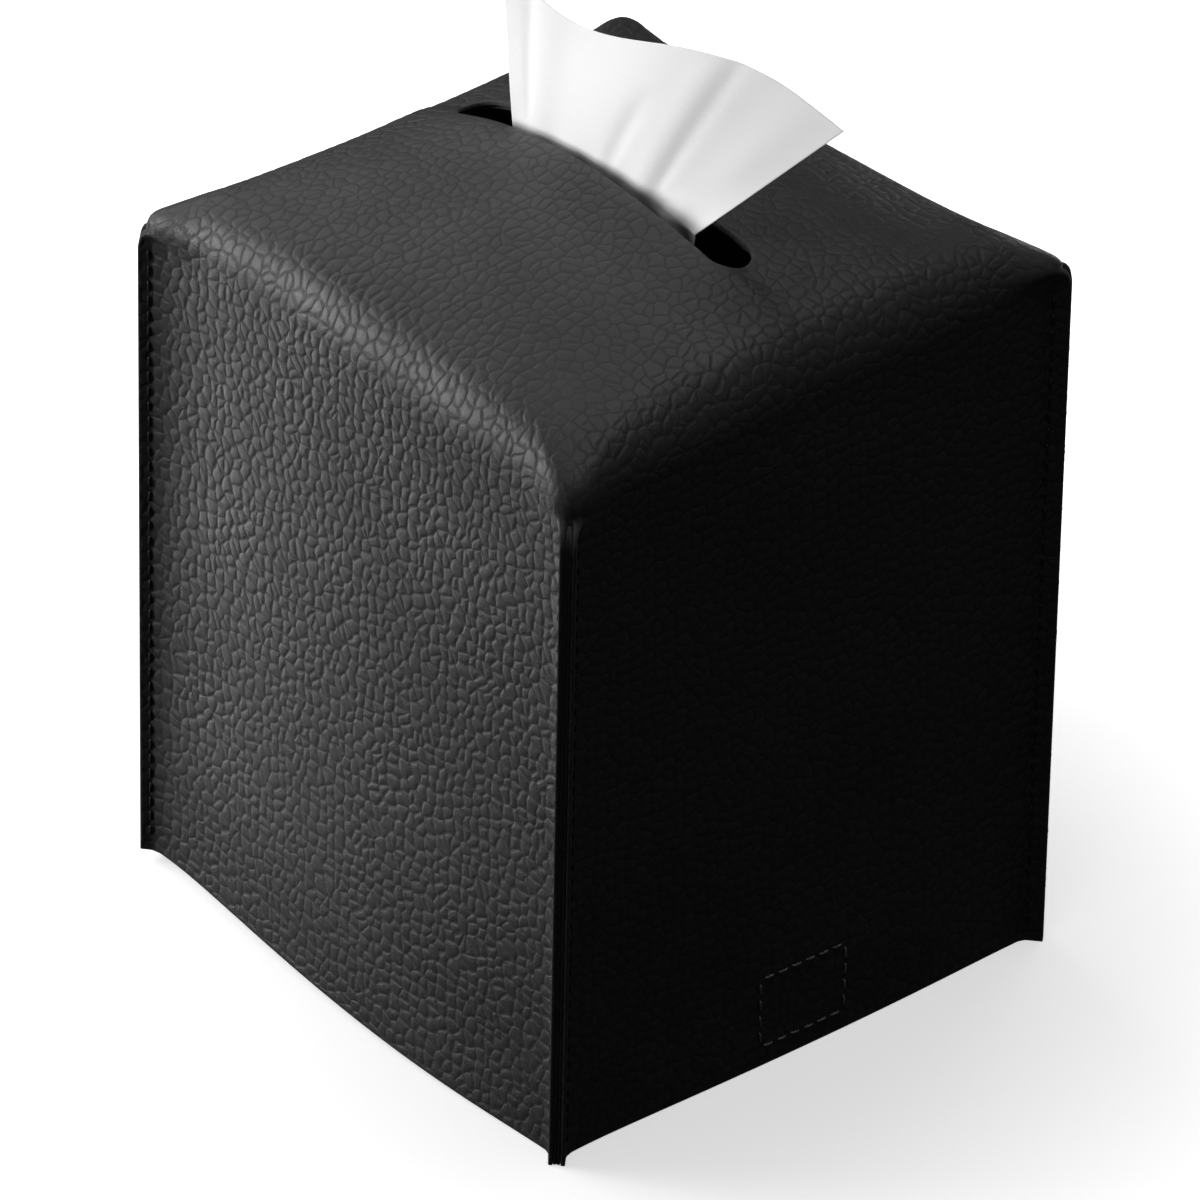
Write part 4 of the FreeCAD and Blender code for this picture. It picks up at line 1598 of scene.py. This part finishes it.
    def patch_thread(self, finish: bpy.types.Material) -> bpy.types.Object:
        """Make the box of stitches that holds the patch to the strap."""
        s = self.sizes
        middle, base, half = self.patch_box()
        half_width = s.width / 2 - s.patch_inset
        inset = s.seam_inset
        span = s.thickness + s.ground + 0.15
        centre = np.array((middle, 0.0, base + self.facing * (s.ground - s.thickness) / 2))
        across, up = np.array((half - inset, 0, 0)), np.array((0, half_width - inset, 0))
        rows = seam_box(centre, across, up, np.array((0.0, 0.0, 1.0)), span, s.pitch, 2 * s.thread)
        seam = sew(f"{self.kind.value}_tape_thread", rows, s.stitch, s.thread, finish, seed=70 + self.sign)
        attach(seam, self.body)
        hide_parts(f"{self.kind.value}_patch_stitches")
        return seam

    def wall_thread(self, finish: bpy.types.Material) -> bpy.types.Object:
        """Make the box of stitches that holds the strap's end to the wall."""
        s = self.sizes
        side = self.wall_side.name.lower()
        span = s.wall + s.thickness + 0.2
        height = self.foot + s.seam_inset + s.seam_height / 2
        centre = np.array((self.sign * (s.half - (s.wall + s.thickness) / 2), 0.0, height))
        across = np.array((0, s.width / 2 - s.seam_inset, 0))
        up = np.array((0, 0, s.seam_height / 2))
        rows = seam_box(centre, across, up, np.array((1.0, 0.0, 0.0)), span, s.pitch, 2 * s.thread)
        seam = sew(f"belt_stitches_{side}_thread", rows, s.stitch, s.thread, finish, seed=80 + self.sign,
                   settle=self.follow_wall)
        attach(seam, "cover")
        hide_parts(f"belt_stitches_{side}")
        return seam


# Tissue


@dataclass(frozen=True)
class Fold:
    """A soft fold of the tissue: its place and drift across the sheet, its width and depth, and its two ends."""

    place: float
    drift: float
    width: float
    depth: float
    low: float
    high: float


@dataclass
class Tissue:
    """The tissue that stands in the slot: a gathered root, and a fan that leans back to the right."""

    root_left: tuple[float, ...] = (-27.0, -1.2, 157.0)
    root_right: tuple[float, ...] = (22.5, 1.0, 157.0)
    tail: float = 14.0
    edge_share: tuple[float, ...] = (0.0, 0.11, 0.26, 0.43, 0.58, 0.75, 0.9, 1.0)
    edge_x: tuple[float, ...] = (-32.0, -22.0, -9.5, 4.5, 15.5, 28.0, 38.0, 45.0)
    edge_y: tuple[float, ...] = (-0.5, 0.8, 2.2, 4.5, 7.0, 10.5, 13.5, 15.5)
    edge_z: tuple[float, ...] = (193.5, 186.0, 184.5, 188.0, 190.5, 190.0, 187.0, 184.0)
    soft_folds: tuple[Fold, ...] = (
        Fold(0.09, -0.015, 0.02, 0.3, 0.0, 1.2),
        Fold(0.15, -0.01, 0.05, -0.4, 0.0, 1.2),
        Fold(0.5, 0.02, 0.035, 0.4, -0.2, 0.75),
        Fold(0.73, -0.04, 0.03, 0.35, -0.1, 1.2),
        Fold(0.66, -0.02, 0.06, -0.45, -0.1, 1.1),
        Fold(0.9, 0.0, 0.07, -0.35, 0.2, 1.2),
    )
    belly: float = 1.6
    gather_depth: float = 1.1
    gathers: float = 5.5
    ply: float = 0.22
    columns: int = 280
    rows: int = 160
    tail_rows: int = 40

    def top_edge(self, share: Array) -> Array:
        """Return points of the torn upper edge."""
        places = (self.edge_x, self.edge_y, self.edge_z)
        fits = [np.polynomial.Polynomial.fit(self.edge_share, values, deg=5) for values in places]
        return np.stack([fit(share) for fit in fits], axis=-1)

    def middle_surface(self) -> tuple[Array, Array]:
        """Return the middle surface of the sheet and its flat-lay coordinates, row by row from the tail."""
        share = np.linspace(0, 1, self.columns)
        root = np.array(self.root_left) + share[:, None] * (np.array(self.root_right) - np.array(self.root_left))
        up = np.linspace(0, 1, self.rows)[:, None, None]
        fan = root + (self.top_edge(share) - root) * up
        fan[..., 1] -= self.belly * np.sin(math.pi * up[..., 0]) * np.sin(math.pi * share)
        below = np.linspace(-self.tail, 0, self.tail_rows)[:-1, None, None]
        points = np.concatenate([root + below * np.array((0.0, 0.0, 1.0)), fan])
        height = np.concatenate([below[..., 0] / self.tail, up[..., 0]])
        points[..., 1] += self.folds(share[None], height)
        lay = np.dstack([np.broadcast_to(root[:, 0], points.shape[:2]), points[..., 2], np.zeros(points.shape[:2])])
        return points, lay

    def folds(self, share: Array, height: Array) -> Array:
        """Return how far the soft folds stand back or forward.

        Args:
            share: Share of the width, from the left edge.
            height: Share of the height, from 0 at the slot to 1 at the upper edge, and to -1 at the tail.

        Returns:
            Distances along Y.
        """
        up = np.clip(height, 0, 1)
        total = 0.6 * np.sin(2 * math.pi * (1.3 * share + 0.1)) * (0.5 + 0.5 * up)
        ease = 0.3
        for fold in self.soft_folds:
            offset = (share - fold.place - fold.drift * up) / fold.width
            rise = fold.depth * np.exp(-(offset**2)) * smooth(height, fold.low, fold.low + ease)
            total = total + rise * smooth(-height, -fold.high, ease - fold.high)
        gather = self.gather_depth * np.sin(2 * math.pi * self.gathers * share + 0.6) * smooth(-height, -0.25, 0.4)
        return total * smooth(height, -0.6, 0.3) + gather

    def build(self, finish: bpy.types.Material) -> bpy.types.Object:
        points, lay = self.middle_surface()
        down, right = np.gradient(points, axis=0), np.gradient(points, axis=1)
        normal = np.cross(right, down)
        normal /= np.linalg.norm(normal, axis=2, keepdims=True)
        parts = MeshParts()
        rows, columns = points.shape[:2]
        for side, flip in ((1, False), (-1, True)):
            parts.add(points + side * self.ply / 2 * normal, grid_faces(rows, columns, wrap=False, flip=flip), lay)
        border = grid_border(rows, columns)
        after = np.roll(border, -1)
        parts.add_faces(np.stack([after, border, border + rows * columns, after + rows * columns], axis=1))
        sheet = parts.write("tissue", [finish])
        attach(sheet, "tissue")
        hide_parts("tissue_sheet")
        return sheet


# Studio


@dataclass
class Studio:
    """Pale floor, soft light and the camera."""

    azimuth: float = 49.1
    elevation: float = 33.45
    roll: float = 1.59
    distance: float = 2000.0
    scale: float = 5.36
    target_z: float = 75.0
    target_pixel: tuple[float, float] = (600.7, 561.5)
    image: float = 1200.0
    sensor: float = 36.0
    floor_reach: float = 3.0

    def camera(self) -> bpy.types.Object:
        """Make the camera at the photograph's viewing angle."""
        turn, tilt, roll = (math.radians(a) for a in (self.azimuth, self.elevation, self.roll))
        right = Vector((math.cos(turn), math.sin(turn), 0.0))
        ahead = Vector((-math.sin(turn) * math.cos(tilt), math.cos(turn) * math.cos(tilt), -math.sin(tilt)))
        up = right.cross(ahead)
        off = [self.image / 2 - p for p in self.target_pixel]
        aside = math.cos(roll) * off[0] + math.sin(roll) * off[1]
        below = -math.sin(roll) * off[0] + math.cos(roll) * off[1]
        aim = Vector((0, 0, self.target_z)) + right * (aside / self.scale) - up * (below / self.scale)
        data = bpy.data.cameras.new("camera")
        data.sensor_width = self.sensor
        data.lens = self.sensor * self.distance * self.scale / self.image
        data.clip_start, data.clip_end = 0.05, 20.0
        item = bpy.data.objects.new("camera", data)
        item.rotation_mode = "QUATERNION"
        item.location = (aim - ahead * self.distance) * MM
        item.rotation_quaternion = ahead.to_track_quat("-Z", "Y") @ Quaternion((0, 0, 1), roll)
        bpy.context.scene.collection.objects.link(item)
        bpy.context.scene.camera = item
        return item

    def floor(self, finish: bpy.types.Material) -> bpy.types.Object:
        """Make the floor, which lets the light of the low lamps through as if it gave it back."""
        far = self.floor_reach
        corners = [(-far, -far, 0), (far, -far, 0), (far, far, 0), (-far, far, 0)]
        mesh = bpy.data.meshes.new("floor")
        mesh.from_pydata(corners, [], [(0, 1, 2, 3)])
        mesh.materials.append(finish)
        item = bpy.data.objects.new("floor", mesh)
        bpy.context.scene.collection.objects.link(item)
        item.visible_glossy = False
        item.visible_diffuse = False
        item.visible_shadow = False
        return item

    def lamp(self, name: str, place: Sequence[float], aim: Sequence[float], size: Sequence[float], power: float,
             spread: float = 180.0) -> bpy.types.Object:
        """Hang one softbox.

        Args:
            name: Its name.
            place: Where it hangs, in millimetres.
            aim: What it points at.
            size: Its two sides.
            power: Its power, in watts.
            spread: Angle of its beam, in degrees.

        Returns:
            The lamp.
        """
        data = bpy.data.lights.new(name, "AREA")
        data.spread = math.radians(spread)
        data.shape = "RECTANGLE"
        data.size, data.size_y = size[0] * MM, size[1] * MM
        data.energy = power
        item = bpy.data.objects.new(name, data)
        item.location = Vector(place) * MM
        item.rotation_mode = "QUATERNION"
        item.rotation_quaternion = (Vector(aim) - Vector(place)).to_track_quat("-Z", "Y")
        item.visible_camera = False
        bpy.context.scene.collection.objects.link(item)
        return item

    def world(self, seen: float = 1.0, fill: float = 0.024) -> None:
        """Make a white backdrop that gives little light of its own."""
        world = bpy.data.worlds.new("studio")
        world.use_nodes = True
        wiring = Wiring(world.node_tree)
        world.node_tree.nodes.clear()
        path = wiring.node("ShaderNodeLightPath").outputs["Is Camera Ray"]
        dim = wiring.node("ShaderNodeBackground", {"Color": grey(1.0), "Strength": fill})
        bright = wiring.node("ShaderNodeBackground", {"Color": grey(1.0), "Strength": seen})
        mixed = wiring.node("ShaderNodeMixShader", {0: path, 1: dim.outputs[0], 2: bright.outputs[0]})
        out = wiring.node("ShaderNodeOutputWorld")
        wiring.feed(out.inputs["Surface"], mixed.outputs[0])
        bpy.context.scene.world = world

    def light(self, tissue: bpy.types.Object) -> None:
        """Hang the lamps, two of them for the tissue alone, and set how the picture takes their light."""
        self.lamp("key", (-310.0, -220.0, 235.0), (-20.0, -40.0, 100.0), (220.0, 220.0), 0.7)
        self.lamp("low", (-430.0, -165.0, -110.0), (-75.0, -60.0, 75.0), (120.0, 120.0), 0.024, spread=40.0)
        self.lamp("front", (-300.0, -420.0, -40.0), (20.0, -60.0, 15.0), (120.0, 120.0), 0.014, spread=25.0)
        self.lamp("bend", (-310.0, -370.0, 235.0), (-20.0, -58.0, 138.0), (180.0, 180.0), 0.8)
        self.lamp("top", (-60.0, 260.0, 800.0), (0.0, 0.0, 120.0), (500.0, 500.0), 0.8)
        self.lamp("corner", (130.0, -75.0, 780.0), (50.0, -35.0, 140.0), (160.0, 160.0), 0.5)
        self.lamp("right bend", (320.0, 270.0, 445.0), (50.0, 0.0, 140.0), (200.0, 200.0), 0.04)
        self.lamp("back", (-440.0, 60.0, 420.0), (0.0, 0.0, 120.0), (300.0, 300.0), 0.47)
        self.lamp("rear", (-150.0, 480.0, 90.0), (0.0, 60.0, 75.0), (200.0, 200.0), 0.35)
        paper = bpy.data.collections.new("lit tissue")
        paper.objects.link(tissue)
        for name, place, power in (("paper", (60.0, -520.0, 300.0), 1.5), ("paper back", (-60.0, 480.0, 420.0), 1.5)):
            shade = self.lamp(name, place, (10.0, 5.0, 175.0), (300.0, 300.0), power)
            shade.light_linking.receiver_collection = paper
        bpy.context.scene.view_settings.view_transform = "Standard"
        bpy.context.scene.view_settings.look = "None"


def main() -> None:
    """Build the studio and every piece of the cover."""
    logging.basicConfig(level=logging.INFO, format="%(message)s")
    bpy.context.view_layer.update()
    palette = Palette(PebbleGrain().shader_group(), fibre_group(), weave_group(), wear_group())
    leather = PebbledLeather().material(palette)
    raw_edge = FibrousFelt("raw_edge", tone=0.022, strand=0.11, scale=3.0, depth=0.1).material(palette)
    felt = FibrousFelt("lining_felt").material(palette)
    seam_thread = SewingThread("seam_thread", 0.022, 0.006).material(palette)
    belt_thread = SewingThread("belt_thread", 0.32, 0.12).material(palette)
    strap = WovenTape("strap_webbing").material(palette)
    ground = WovenTape("tape_ground", pitch=0.9).material(palette)
    hooks = HookPlastic().material(palette)
    pile = FibrousFelt("loop_pile", tone=0.014, strand=0.05, scale=5.0, depth=0.03).material(palette)

    studio = Studio()
    studio.camera()
    studio.floor(StudioPaper().material(palette))
    studio.world()

    cover = Cover()
    pieces = [cover.leather_skin([leather, raw_edge]), cover.felt_lining([felt, raw_edge])]
    for corner in Corner:
        pieces += [cover.fin_felt(corner, raw_edge), cover.corner_seam(corner, seam_thread)]
    for belt in (
        BeltStrap(TapeKind.HOOK, 1, 1.4, 93.0, cover.form),
        BeltStrap(TapeKind.LOOP, -1, 5.3, 52.0, cover.form),
    ):
        pieces += [belt.webbing(strap), belt.patch(ground, hooks if belt.kind is TapeKind.HOOK else pile)]
        pieces += [belt.patch_thread(belt_thread), belt.wall_thread(belt_thread)]
    pieces.append(Tissue().build(TissuePaper().material(palette)))
    studio.light(pieces[-1])
    for piece in pieces:
        LOG.info("%s: %d points, %d faces", piece.name, len(piece.data.vertices), len(piece.data.polygons))


if __name__ == "__main__":
    main()
